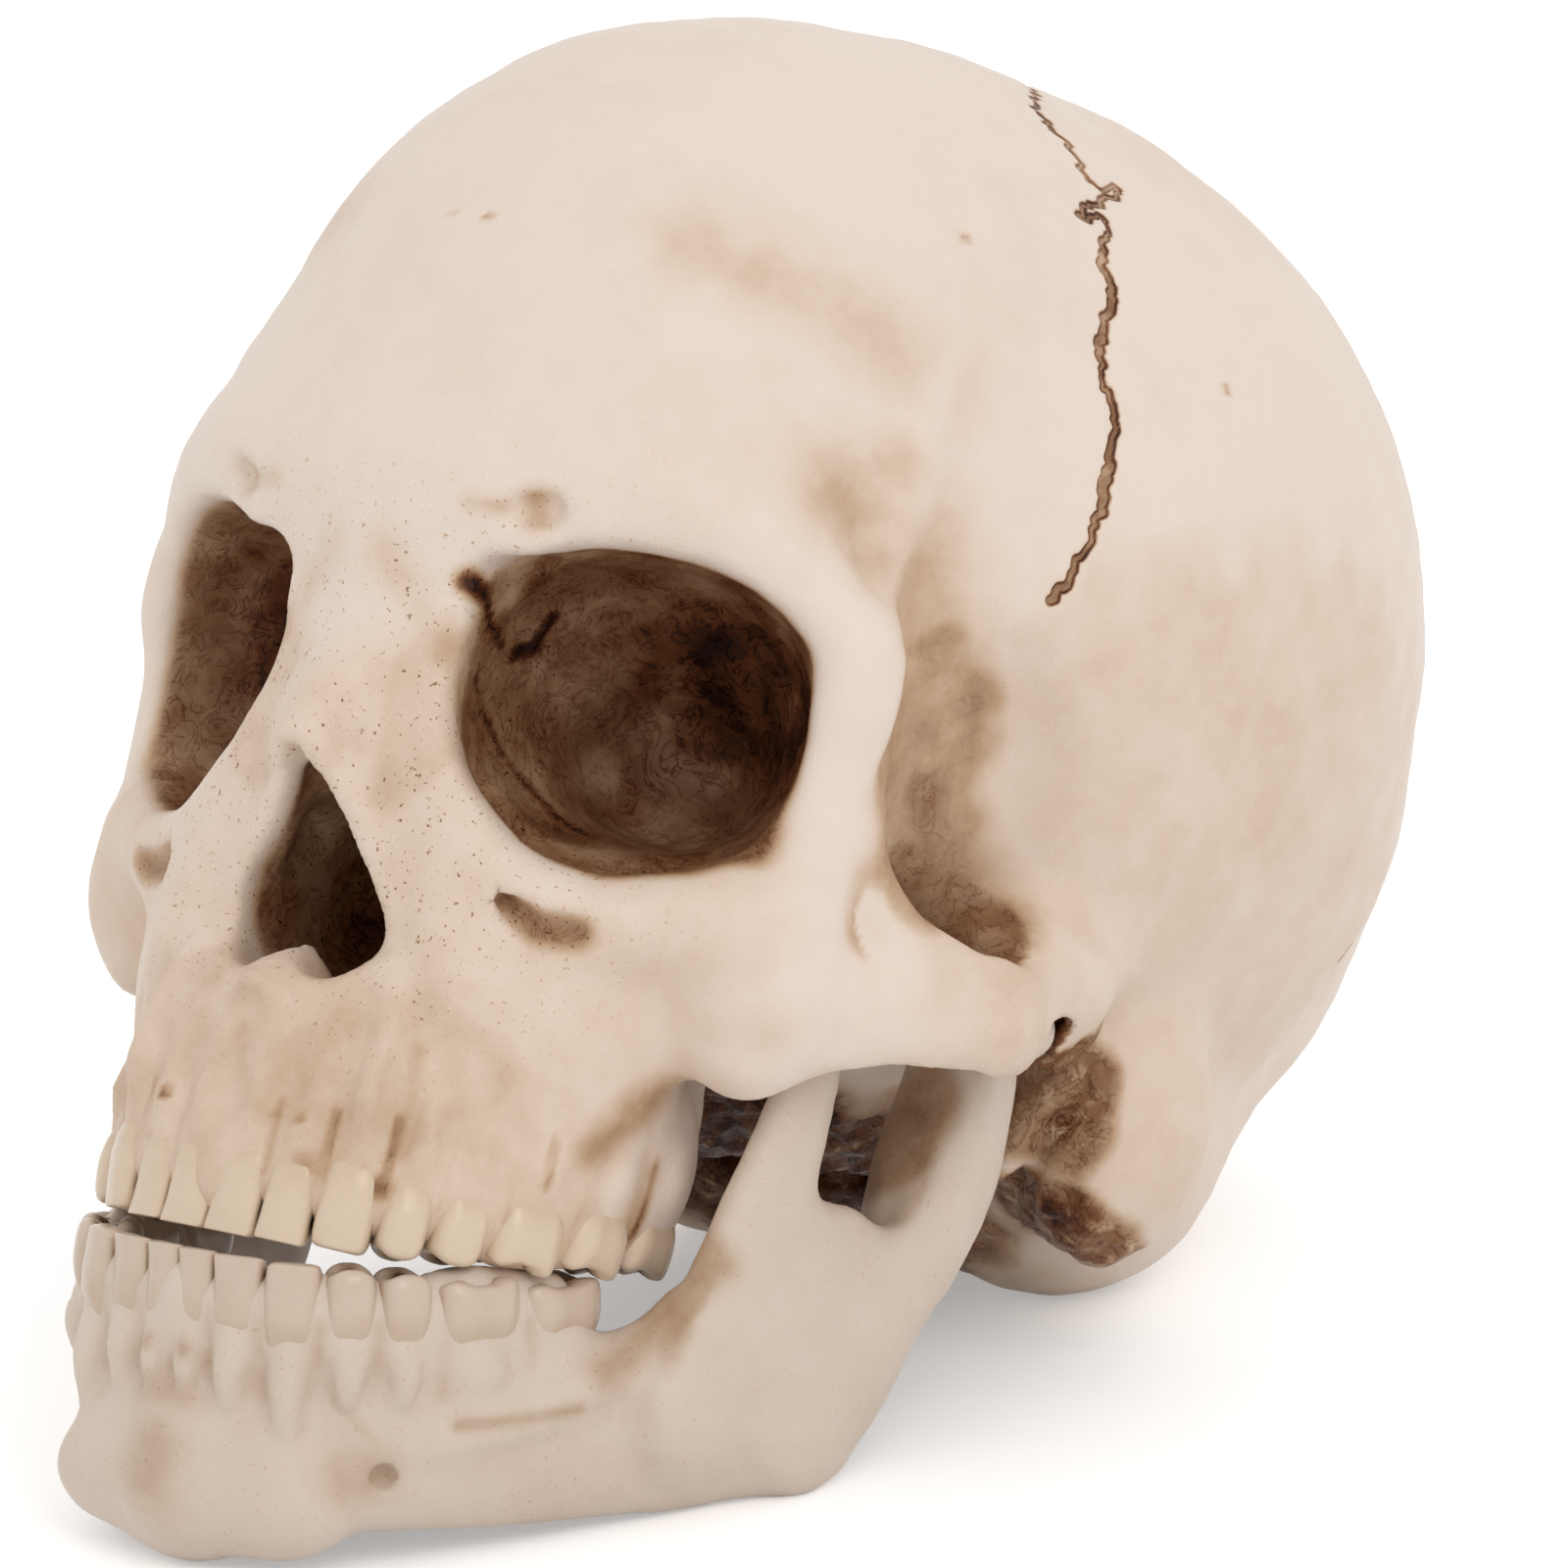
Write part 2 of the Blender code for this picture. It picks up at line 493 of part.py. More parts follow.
def jaw_masses(bm, row):
    sizes = Vector((CRANIUM_HALF_WIDTH, JAW_LENGTH, JAW_BODY_HEIGHT))
    tall = Vector((CRANIUM_HALF_WIDTH, JAW_LENGTH, HINGE_HEIGHT))
    half_body, half_ramus = JAW_BODY_THICKNESS / 2, RAMUS_THICKNESS / 2
    spread = CONDYLE_SPREAD_SHARE * CRANIUM_HALF_WIDTH
    reach = CONDYLE_LENGTH / 2 - CONDYLE_RADIUS
    for side in (1, -1):
        body = [(across(scaled(place, sizes), side), share * half_body) for place, share in BODY_ROD_SHARES]
        limb(bm, body, (1, 1, JAW_BODY_HEIGHT / JAW_BODY_THICKNESS))
        for table in (RAMUS_BACK_SHARES, RAMUS_FRONT_SHARES):
            path = [(across(scaled(place, tall), side), share * half_ramus) for place, share in table]
            limb(bm, path, (RAMUS_FLATNESS, 1, 1))
        blob(bm, across(scaled(RAMUS_PLATE_SHARES[0], tall), side), scaled(RAMUS_PLATE_SHARES[1], tall))
        blob(bm, across(scaled(NECK_SHARES[0], tall), side), scaled(NECK_SHARES[1], tall))
        blob(bm, across(scaled(CHIN_CORNER_SHARES[0], sizes), side), scaled(CHIN_CORNER_SHARES[1], sizes))
        ends = [across((spread + end, 0, HINGE_HEIGHT), side) for end in (-reach, reach)]
        limb(bm, [(end, CONDYLE_RADIUS) for end in ends])
        ridge = LOWER_RIDGE_SHARE * TOOTH_DEPTH
        drop = LOWER_RIDGE_DROP_SHARE * CROWN_HEIGHT + ridge * RIDGE_STRETCH
        row.ridge(bm, side, drop, ridge, RIDGE_STRETCH)
    blob(bm, scaled(CHIN_SHARES[0], sizes), scaled(CHIN_SHARES[1], sizes))


def box_mesh(bm, size, top):
    """A square block whose top face lies at a height."""
    place = Matrix.Translation((0, 0, top - size / 2))
    bmesh.ops.create_cube(bm, size=1, matrix=place @ Matrix.Scale(size, 4))


def foramen_mesh(bm):
    """An oval drill through the skull's base."""
    place = scaled(FORAMEN_PLACE_SHARES, CRANIUM_SIZES)
    size = Matrix.Diagonal((FORAMEN_WIDTH, FORAMEN_LENGTH, CRANIUM_HALF_HEIGHT * FORAMEN_REACH_SHARE, 1))
    bmesh.ops.create_cone(
        bm, cap_ends=True, segments=FORAMEN_SIDES, radius1=0.5, radius2=0.5, depth=1,
        matrix=Matrix.Translation(place) @ size,
    )


def build():
    for old in list(bpy.data.objects):
        bpy.data.objects.remove(old, do_unlink=True)
    cranium_look, jaw_look, upper_look, lower_look = [material(name, *look) for name, look in LOOKS.items()]

    stand = empty("stand", (0, STAND_SHIFT, STAND_RISE), -STAND_PITCH)
    tilt = empty("cranium_tilt", (0, 0, HINGE_HEIGHT), -CRANIUM_PITCH, stand)
    hinge = empty("jaw_hinge", (0, 0, HINGE_HEIGHT), 0, stand)
    floor = solid("floor_cut", lambda bm: box_mesh(bm, FLOOR_BLOCK, 0), None)

    upper = Row(
        "upper", UPPER_TOOTH_SHARES, UPPER_TOOTH_WIDTH, (UPPER_ARCH_HALF_WIDTH, UPPER_ARCH_DEPTH),
        -HINGE_BEHIND_FACE - HINGE_BEFORE_EAR, -UPPER_EDGE_BELOW_EAR, UPPER_ROW_RISE, -1,
        tilt, -HINGE_IN_CRANIUM,
    )
    lower = Row(
        "lower", LOWER_TOOTH_SHARES, LOWER_TOOTH_WIDTH, (LOWER_ARCH_HALF_WIDTH, LOWER_ARCH_DEPTH),
        LOWER_FRONT_SHARE * JAW_LENGTH, JAW_FRONT_HEIGHT, -LOWER_ROW_DROP, 1,
        hinge, Vector((0, 0, -HINGE_HEIGHT)),
    )

    cranium = solid("cranium", lambda bm: cranium_masses(bm, upper), tilt, cranium_look, -HINGE_IN_CRANIUM)
    hollows = solid("face_hollows", face_hollows, tilt, None, -HINGE_IN_CRANIUM)
    round_off(hollows, VOXEL, RIM_PASSES, "hollows")
    round_off(cranium, VOXEL, BLEND_PASSES, "masses")
    cut(cranium, hollows)
    round_off(cranium, VOXEL, RIM_PASSES, "rims")
    modifier(cranium, "fewer facets", "DECIMATE", ratio=CRANIUM_FACET_SHARE)
    room = solid("brain_room", brain_room_mesh, tilt, None, -HINGE_IN_CRANIUM)
    round_off(room, ROOM_VOXEL, ROOM_PASSES, "room")
    modifier(room, "fewer facets", "DECIMATE", ratio=ROOM_FACET_SHARE)
    cut(cranium, room)
    cut(cranium, solid("foramen", foramen_mesh, tilt, None, -HINGE_IN_CRANIUM))
    for side, name in ((1, "left"), (-1, "right")):
        socket = solid(name + "_jaw_socket", lambda bm: joint_room(bm, side), tilt, None, -HINGE_IN_CRANIUM)
        cut(cranium, socket)
    upper.add_teeth(cranium, upper_look)
    cut(cranium, floor)

    jaw = solid("mandible", lambda bm: jaw_masses(bm, lower), hinge, jaw_look, (0, 0, -HINGE_HEIGHT))
    round_off(jaw, JAW_VOXEL, JAW_PASSES, "masses")
    modifier(jaw, "fewer facets", "DECIMATE", ratio=JAW_FACET_SHARE)
    lower.add_teeth(jaw, lower_look)
    cut(jaw, floor)


build()
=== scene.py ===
"""Looks of the anatomical skull model: the cast bone surface sculpted as signed distances, its teeth,
stains with some painted shade and highlights, seams, light and camera. The sculpts are in millimetres, in the
frames of part.py: the cranium's has its origin midway between the ear openings, the jaw's lies on its base
plane below the hinge."""

import json
import math

import bmesh
import bpy
import numpy as np
from mathutils import Matrix, Vector


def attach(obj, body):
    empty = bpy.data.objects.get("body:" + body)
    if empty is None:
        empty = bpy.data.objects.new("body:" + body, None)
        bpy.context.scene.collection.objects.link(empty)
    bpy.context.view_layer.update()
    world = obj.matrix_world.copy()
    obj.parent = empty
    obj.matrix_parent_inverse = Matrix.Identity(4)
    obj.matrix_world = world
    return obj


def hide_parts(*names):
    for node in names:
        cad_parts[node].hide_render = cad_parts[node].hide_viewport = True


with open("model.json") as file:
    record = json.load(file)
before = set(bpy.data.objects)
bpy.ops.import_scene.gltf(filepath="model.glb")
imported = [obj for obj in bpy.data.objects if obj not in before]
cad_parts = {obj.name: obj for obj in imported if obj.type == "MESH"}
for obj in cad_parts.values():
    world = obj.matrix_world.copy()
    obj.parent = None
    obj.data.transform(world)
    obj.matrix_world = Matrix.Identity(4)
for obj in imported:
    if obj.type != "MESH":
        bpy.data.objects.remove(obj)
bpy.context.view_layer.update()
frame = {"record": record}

MM = 0.001
FLOOR_LIFT = 0.00002
CRANIUM_STEP = 0.9
JAW_STEP = 0.75
CRANIUM_PITCH = math.radians(17.94)
STAND_PITCH = math.radians(8.05)
HINGE_IN_CRANIUM = Vector((0, -18, -6))
HINGE_HEIGHT = 57.27
HINGE = Vector(frame["record"]["behaviour"]["joints"][0]["pos_m"])


def to_world(pitch, anchor):
    """From a sculpt's millimetres to the part's metres."""
    return Matrix.Translation(HINGE) @ Matrix.Rotation(-pitch, 4, "X") @ Matrix.Scale(MM,
        4) @ Matrix.Translation(-anchor)


CRANIUM_PLACE = to_world(CRANIUM_PITCH + STAND_PITCH, HINGE_IN_CRANIUM)
JAW_PLACE = to_world(STAND_PITCH, Vector((0, 0, HINGE_HEIGHT)))


# Signed distances on a half grid, mirrored at the end

def smooth_min(a, b, k):
    if k <= 0:
        return np.minimum(a, b)
    h = np.maximum(k - np.abs(a - b), 0) / k
    return np.minimum(a, b) - h * h * k / 4


def turned(**degrees):
    made = np.eye(3)
    for axis, angle in degrees.items():
        made = made @ np.array(Matrix.Rotation(math.radians(angle), 3, axis.upper()))
    return made


def smooth_path(rows, steps):
    """A Catmull-Rom curve through rows of numbers."""
    rows = np.array(rows, float)
    path = []
    for i in range(len(rows) - 1):
        a, b, c = rows[max(i - 1, 0)], rows[i], rows[i + 1]
        d = rows[min(i + 2, len(rows) - 1)]
        for t in np.arange(steps) / steps:
            path.append((2 * b + (c - a) * t + (2 * a - 5 * b + 4 * c - d) * t ** 2
                + (3 * b - a - 3 * c + d) * t ** 3) / 2)
    path.append(rows[-1])
    return np.array(path)


class Clay:
    PAD = 14

    def __init__(self, low, high, step):
        self.step = step
        self.axes = [np.arange(-step * round(self.PAD / step), high[0], step, dtype=np.float32)]
        self.axes += [np.arange(low[i], high[i], step, dtype=np.float32) for i in (1, 2)]
        self.d = np.full([len(a) for a in self.axes], 60, np.float32)

    def put(self, field, low, high, k, cut):
        margin = k + 4 * self.step
        low, high = np.array(low, float) - margin, np.array(high, float) + margin
        paired = low[0] < self.PAD
        if paired:
            low[0], high[0] = min(low[0], -high[0]), max(high[0], -low[0])
        window = tuple(slice(*np.searchsorted(a, (lo, hi))) for a, lo, hi in zip(self.axes, low, high))
        x, y, z = np.meshgrid(*[a[s] for a, s in zip(self.axes, window)], indexing="ij", sparse=True)
        if 0 in (x.size, y.size, z.size):
            return
        found = field(x, y, z)
        if paired:
            found = smooth_min(found, field(-x, y, z), k)
        found = found.astype(np.float32)
        old = self.d[window]
        self.d[window] = -smooth_min(-old, found, k) if cut else smooth_min(old, found, k)

    def ball(self, centre, radii, k=6, cut=False, turn=None, power=2):
        r = np.array(radii, float)
        m = np.eye(3) if turn is None else turn
        reach = np.abs(m) @ r

        def field(x, y, z):
            x, y, z = x - centre[0], y - centre[1], z - centre[2]
            u, v, w = (m[0, i] * x + m[1, i] * y + m[2, i] * z for i in range(3))
            inside = np.sqrt((u / r[0]) ** 2 + (v / r[1]) ** 2 + (w / r[2]) ** 2) + 1e-6
            slope = np.sqrt((u / r[0] ** 2) ** 2 + (v / r[1] ** 2) ** 2 + (w / r[2] ** 2) ** 2) + 1e-6
            bulge = inside
            if power != 2:
                bulge = (np.abs(u / r[0]) ** power + np.abs(v / r[1]) ** power
                    + np.abs(w / r[2]) ** power) ** (1 / power)
            return (bulge - 1) * inside / slope

        self.put(field, centre - reach, centre + reach, k, cut)

    def bar(self, rows, k=4, cut=False, flat=None, steps=5):
        """A round-ended bar through rows of x, y, z, radius. flat: a direction, and how much thinner the bar
        is that way."""
        path = smooth_path(rows, steps)
        squash = np.eye(3)
        grow = np.ones(3)
        if flat:
            n = np.array(flat[0], float)
            n /= np.linalg.norm(n)
            squash = squash + (flat[1] - 1) * np.outer(n, n)
            if flat[1] < 1:
                grow = grow + np.abs(n) * (1 / flat[1] - 1)
        points, radii = path[:, :3] @ squash.T, path[:, 3]

        def field(x, y, z):
            x, y, z = np.broadcast_arrays(x, y, z)
            u, v, w = (squash[i, 0] * x + squash[i, 1] * y + squash[i, 2] * z for i in range(3))
            best = None
            for a, b, ra, rb in zip(points, points[1:], radii, radii[1:]):
                along = b - a
                t = ((u - a[0]) * along[0] + (v - a[1]) * along[1] + (w - a[2])
                    * along[2]) / (along @ along + 1e-9)
                t = np.clip(t, 0, 1)
                gap = np.sqrt((u - a[0] - t * along[0]) ** 2 + (v - a[1] - t * along[1]) ** 2
                    + (w - a[2] - t * along[2]) ** 2)
                gap = gap - ra - (rb - ra) * t
                best = gap if best is None else np.minimum(best, gap)
            return best

        spread = path[:, 3:] * grow
        self.put(field, (path[:, :3] - spread).min(0), (path[:, :3] + spread).max(0), k, cut)

    def half(self):
        return int(np.argmin(np.abs(self.axes[0])))

    def sample(self, grid, points):
        """A grid's values at points, which may lie on either side."""
        at = np.abs(points[:, 0]), points[:, 1], points[:, 2]
        place = [np.clip((p - a[0]) / self.step, 0, len(a) - 1.001) for p, a in zip(at, self.axes)]
        low = [p.astype(int) for p in place]
        part = [p - l for p, l in zip(place, low)]
        total = np.zeros(len(points))
        for corner in range(8):
            bits = [corner >> i & 1 for i in range(3)]
            weight = np.prod([f if b else 1 - f for f, b in zip(part, bits)], axis=0)
            total += weight * grid[tuple(l + b for l, b in zip(low, bits))]
        return total


def blurred(grid, radius, passes=2):
    """Box blurs along each axis in turn."""
    for _ in range(passes):
        for axis in range(3):
            padded = np.concatenate([
                np.repeat(np.take(grid, [0], axis), radius + 1, axis), grid,
                np.repeat(np.take(grid, [-1], axis), radius, axis)], axis)
            total = np.cumsum(padded, axis, dtype=np.float64)
            width = 2 * radius + 1
            n = grid.shape[axis]
            high = np.take(total, range(width, width + n), axis)
            low = np.take(total, range(n), axis)
            grid = ((high - low) / width).astype(np.float32)
    return grid


def surface(clay):
    """Surface nets over the whole, mirrored grid: points and four-cornered faces."""
    start = clay.half()
    half = clay.d[start:]
    d = np.concatenate([half[:0:-1], half])
    x = clay.axes[0][start:]
    axes = [np.concatenate([-x[:0:-1], x]), clay.axes[1], clay.axes[2]]
    inside = d < 0
    count = np.zeros([n - 1 for n in d.shape], np.uint8)
    total = np.zeros((*count.shape, 3), np.float32)
    for axis in range(3):
        others = [i for i in range(3) if i != axis]
        for offsets in ((0, 0), (0, 1), (1, 0), (1, 1)):
            a, b = [slice(0, -1)] * 3, [slice(0, -1)] * 3
            for i, offset in zip(others, offsets):
                a[i] = b[i] = slice(offset, d.shape[i] - 1 + offset)
            b[axis] = slice(1, None)
            da, db = d[tuple(a)], d[tuple(b)]
            crossing = (da < 0) != (db < 0)
            count += crossing
            total[..., axis] += np.where(crossing, da / np.where(crossing, da - db, 1), 0)
            for i, offset in zip(others, offsets):
                total[..., i] += crossing * np.float32(offset)
    active = count > 0
    ids = np.full(active.shape, -1)
    ids[active] = np.arange(active.sum())
    cells = np.argwhere(active) + total[active] / count[active][:, None]
    points = cells * clay.step + [a[0] for a in axes]
    faces = []
    for axis in range(3):
        o = [i for i in range(3) if i != axis]
        a, b = [slice(1, -1)] * 3, [slice(1, -1)] * 3
        a[axis], b[axis] = slice(0, -1), slice(1, None)
        sa, sb = inside[tuple(a)], inside[tuple(b)]
        base = np.argwhere(sa != sb)
        outward = sa[tuple(base.T)]
        if axis == 1:
            outward = ~outward
        corners = []
        for da, db in ((0, 0), (1, 0), (1, 1), (0, 1)):
            cell = base.copy()
            cell[:, o[0]] += da
            cell[:, o[1]] += db
            corners.append(ids[tuple(cell.T)])
        quads = np.stack(corners, 1)
        faces.append(np.where(outward[:, None], quads, quads[:, ::-1]))
    return points, np.concatenate(faces)


# Numbers for the looks, worked out on points

def to_line(points, line):
    """Distance from each point to a polyline."""
    line = np.array(line, float)
    best = np.full(len(points), 1e9)
    for a, b in zip(line, line[1:]):
        along = b - a
        t = np.clip((points - a) @ along / (along @ along + 1e-9), 0, 1)
        best = np.minimum(best, np.linalg.norm(points - a - t[:, None] * along, axis=1))
    return best


def spots(points, table, mirrored=0.0):
    """Soft blots: rows of x, y, z, radius, amount. mirrored: how much of each shows on the other side."""
    total = np.zeros(len(points))
    for x, y, z, radius, amount in table:
        for side, share in ((1, 1.0), (-1, mirrored)):
            if share and (side == 1 or abs(x) > 1):
                gap = np.linalg.norm(points - [side * x, y, z], axis=1)
                total = np.maximum(total, share * amount * np.exp(-(gap / radius) ** 2 * 1.2))
    return total


def fade(value, low, high):
    """0 at low, 1 at high, smooth between."""
    t = np.clip((value - low) / (high - low), 0, 1)
    return t * t * (3 - 2 * t)


def streaks(points, table, mirrored=0.0):
    """Soft brown lines: rows of places, radius, amount."""
    total = np.zeros(len(points))
    for line, radius, amount in table:
        for side, share in ((1, 1.0), (-1, mirrored)):
            if share:
                gap = to_line(points, np.multiply(line, (side, 1, 1)))
                total = np.maximum(total, share * amount * np.exp(-(gap / radius) ** 2 * 1.2))
    return total


# A hollow's mouth: its middle, the way in, and how much the rim's upper and lower edges stand before its
# sides
MOUTHS = {"eye": ((29.3, -78.9, 15.3), (-0.464, 0.88, 0.105), 2.2),
    "nose": ((0, -91.5, 0), (0, 0.909, 0.416), 0.0)}


def tints(points, out, table):
    """Brown regions on both sides, stain and in places painted shade: rows of centre, radii, amount, a point
    that the darkened faces turn to, and the mouth they lie behind."""
    flip = np.stack([np.where(points[:, 0] < 0, -1, 1), np.ones(len(points)), np.ones(len(points))], 1)
    points, out = points * flip, out * flip
    waver = 0.05 * ripples(points, 9, 41)
    total = np.zeros(len(points))
    for centre, radii, amount, aim, mouth in table:
        share = amount * fade(np.linalg.norm((points - centre) / radii, axis=1) + waver, 1, 0.72)
        if aim:
            way = np.array(aim) - points
            share = share * fade(np.einsum("ij,ij->i", way, out) / np.linalg.norm(way, axis=1), -0.05, 0.2)
        if mouth:
            middle, inward, wave = MOUTHS[mouth]
            x, _, z = ((points - middle) / 18).T
            share = share * fade((points - middle) @ inward - wave * (x * x - z * z), -0.6, 2.4)
        total = np.maximum(total, share)
    return total


def ripples(points, wavelength, seed, count=10):
    """Smooth, uneven waves between about -1 and 1."""
    draw = np.random.RandomState(seed)
    total = np.zeros(len(points))
    for _ in range(count):
        way = draw.normal(size=3)
        way *= math.tau / wavelength / np.linalg.norm(way) * draw.uniform(0.7, 1.4)
        total += np.sin(points @ way + draw.uniform(0, math.tau))
    return total / math.sqrt(count)


def zigzag(rows, amplitude, wavelength, seed, across=(0, 0, 1)):
    """A seam's wandering line through rows of points, which swings to both sides."""
    draw = np.random.RandomState(seed)
    path = smooth_path(rows, 24)
    lengths = np.concatenate([[0], np.cumsum(np.linalg.norm(np.diff(path, axis=0), axis=1))])
    steps = np.arange(0, lengths[-1], 0.6)
    path = np.stack([np.interp(steps, lengths, path[:, i]) for i in range(3)], 1)
    heading = np.gradient(path, axis=0)
    heading /= np.linalg.norm(heading, axis=1)[:, None]
    out = path - [0, 0, 40]
    out /= np.linalg.norm(out, axis=1)[:, None]
    side = np.cross(heading, out)
    swing = np.zeros(len(steps))
    for part, share in ((1, 0.5), (0.47, 0.35), (0.23, 0.22)):
        phase = np.cumsum(draw.uniform(0.6, 1.4, len(steps))) * 0.6 / (wavelength * part) * math.tau
        swing += share * np.sin(phase + draw.uniform(0, math.tau))
    size = np.interp(steps / steps[-1], np.linspace(0, 1, len(amplitude)), amplitude)
    return path + side * (swing * size)[:, None]


# The cranium

def cranium_clay():
    c = Clay((0, -108, -62), (74, 100, 122), CRANIUM_STEP)
    for centre, radii in (
        ((0, -37, 46.2), (51.2, 55.6, 59.6)), ((0, -23.4, 46.9), (56.6, 65, 62.8)),
        ((0, -9, 46.9), (62.3, 70.5, 65.7)),
        ((0, 4.5, 46.2), (67.8, 75.2, 67.2)), ((0, 21.6, 36.4), (62, 62.7, 58.4)),
        ((0, 37.8, 24.5), (52.2, 49.2, 48)),
        ((0, 1.8, 14), (59, 51, 29)), ((0, 2.7, 29.4), (64.8, 61, 43.2)),
    ):
        r = np.array(radii, float)
        x, y, z = (a - p for a, p in zip(np.meshgrid(*c.axes, indexing="ij", sparse=True), centre))
        k0 = np.sqrt((x / r[0]) ** 2 + (y / r[1]) ** 2 + (z / r[2]) ** 2) + 1e-6
        k1 = np.sqrt((x / r[0] ** 2) ** 2 + (y / r[1] ** 2) ** 2 + (z / r[2] ** 2) ** 2) + 1e-6
        c.d = np.minimum(c.d, k0 * (k0 - 1) / k1)
    c.d = blurred(c.d.astype(np.float32), round(3.5 / c.step), 2)
    # Neck muscles' swellings, the base and the joint's roof
    c.ball((23.8, 36, -11.2), (20.6, 23.2, 20), 10)
    c.ball((0, -9.9, -8.4), (33, 39, 15), 8)
    c.ball((49.7, -16.2, 1), (10, 13, 8.5), 5)
    # Brow
    c.ball((0, -66.6, 41), (41, 22, 20.5), 8)
    c.ball((0, -77.4, 35.2), (27, 14.6, 16), 7)
    c.bar([(4, -87.3, 33.6, 5), (16, -86.2, 37.4, 5), (28, -82.4, 38.6, 4.8), (40.6, -73.4, 35.7, 4.6),
        (48, -65.3, 28.7, 4.4), (50, -63, 21.7, 4.1)], 7)
    c.ball((0, -79, 18), (12.2, 9.6, 17), 6)
    # The wall between the eye socket and the temple, and the wing behind it
    c.ball((37.1, -50, 8), (9, 12, 22), 6)
    c.ball((44.8, -56.7, 11.9), (6.5, 9, 18.5), 5)
    c.ball((0, -50.4, 4.2), (26.6, 24.3, 24.5), 8)
    # Cheek bone: outer rim, body, lower rim
    c.bar([(49.7, -62.1, 26, 4), (49, -61.2, 14, 4), (48.3, -60.3, 2.1, 4.6), (44.5, -61.2, -9.8, 6)], 5)
    c.ball((42.3, -58.8, -12.5), (11.5, 8.5, 11), 6)
    c.bar([(11.9, -84, 5.5, 3.6), (20.3, -81.4, -6, 4.4), (31.5, -74.7, -9.3, 5), (41.3, -65.7, -5.2, 5.8)],
        6)
    # Nose: sides and bridge
    c.bar([(6.6, -84, 24, 4), (9.4, -84.5, 9, 4.3), (14.4, -83.3, -6, 4.7), (18.9, -81.3, -19.6, 5.4)], 6)
    c.bar([(0, -88, 26, 4.4), (0, -88, 16, 4), (0, -91.3, 9, 3.4), (0, -94.2, 3.6, 2.6)], 4)
    c.bar([(3.4, -87, 20, 3.2), (5.0, -88.2, 10, 2.8), (6.0, -88.8, 3, 2.0)], 3)
    c.bar([(6.2, -87.6, 6, 2.8), (8.8, -86, -1.5, 3.2), (12, -84, -9, 3.4)], 3)
    c.bar([(2.0, -93.2, 1.0, 1.6), (4.8, -90.0, -2.5, 1.8), (8.2, -86.8, -8, 2.2), (11.4, -83.6, -14.5, 2.4),
        (12.4, -82.0, -20, 2.6)], 3)
    # Upper jaw
    c.ball((18.9, -65, -21.7), (16.6, 16.8, 20.5), 7)
    c.ball((0, -65.7, -30.1), (18.9, 21.6, 10.8), 7)
    c.ball((0, -82.4, -30.1), (14.5, 7, 11), 6)
    c.bar([(0, -87.4, -35, 3.4), (11, -86, -35, 3.4), (20.5, -79.3, -35, 3.8), (25.4, -68, -34.5, 4.4),
        (27.6, -55, -33.5, 4.8), (28.2, -49, -33, 4.8)], 5, flat=((0, 0, 1), 0.48))
    # Palate wings
    c.bar([(13, -39.6, -7.7, 5.2), (14.7, -36.9, -23.8, 4.2), (15.8, -36, -32.6, 3)], 5)
    c.bar([(19, -41, -10, 3.6), (21.5, -38.5, -22, 3), (22.5, -37, -30, 2)], 4)
    # Mastoid and the bony rim of the ear
    c.ball((49, 12.6, -12), (8.6, 11, 16.2), 7)
    c.ball((42, 18.5, -12), (12, 13, 14), 8)
    c.bar([(46, 0, -5, 3), (44, 1, -14, 2.6), (42, 0, -21, 1.2)], 3)
    # Temple hollow, then the arch over it
    c.ball((58.1, -42.3, 14), (9.3, 15.5, 19.5), 7, cut=True, turn=turned(z=12))
    c.bar([(51, -28, -6, 4), (50, -38, -12, 5)], 5, cut=True)
    c.bar([(46.2, -57, -14, 5.0), (54.3, -47, -9.8, 4.3), (58.8, -37.5, -7.6, 4.2), (60.2, -33.5, -7.6, 4.2),
        (58.2, -28.6, -7, 4.2), (54.5, -23, -4, 4.2), (51, -15, -1, 4.4), (49.5, -6, -2, 4)], 3.5,
        flat=((0, 0, 1), 0.62))
    c.bar([(49, -57, 11, 3.2), (49.9, -54.2, 4, 3.6), (51.6, -48.6, -1.6, 4), (55, -42, -4.2, 3.6)], 3)
    c.bar([(45.8, -58.4, -15, 5), (44.5, -59.4, -20, 3.6)], 4)
    # Eye sockets
    c.ball((29.6, -75.5, 15.2), (19.6, 26, 17.4), 2.2, cut=True, turn=turned(z=24, x=6), power=2.35)
    c.bar([(16.5, -90, 24, 3), (18.5, -82, 24, 6)], 2.5, cut=True)
    c.ball((20.3, -53.5, 13.3), (12, 11.6, 10.4), 5, cut=True, turn=turned(z=24))
    c.bar([(24, -45, 18, 1.4), (19, -42.6, 13, 2.0), (22, -44, 8, 1.3)], 1.5, cut=True)
    c.bar([(13.8, -80, 10, 2.2), (14.4, -78, 3, 1.9)], 2, cut=True)
    c.bar([(48.6, -60.5, 31, 1.6), (46.6, -58.9, 36, 1.5), (47.0, -59.0, 41, 1.4), (47.6, -57.8, 47, 1.2),
        (47.3, -57.0, 55, 1.0)], 5)
    # Nose opening, with its shelves and partition
    c.bar([(0.2, -96, 0.8, 1.3), (1.2, -91, -3.5, 2.6), (3.0, -87, -9, 3.9), (5.2, -82, -15.2, 5.4),
        (5.0, -80, -18.6, 4.8)], 1.2, cut=True, flat=((0, 1, 0), 0.3))
    c.ball((0, -69, -11), (10, 13, 11.5), 4, cut=True)
    c.bar([(0, -84, -23.5, 2.0), (0, -89, -24.5, 1.7), (0, -93.8, -25.8, 1.0)], 3)
    # Palate
    c.ball((0, -57, -45.5), (17.5, 25.5, 11.5), 4, cut=True)
    return c


# Teeth

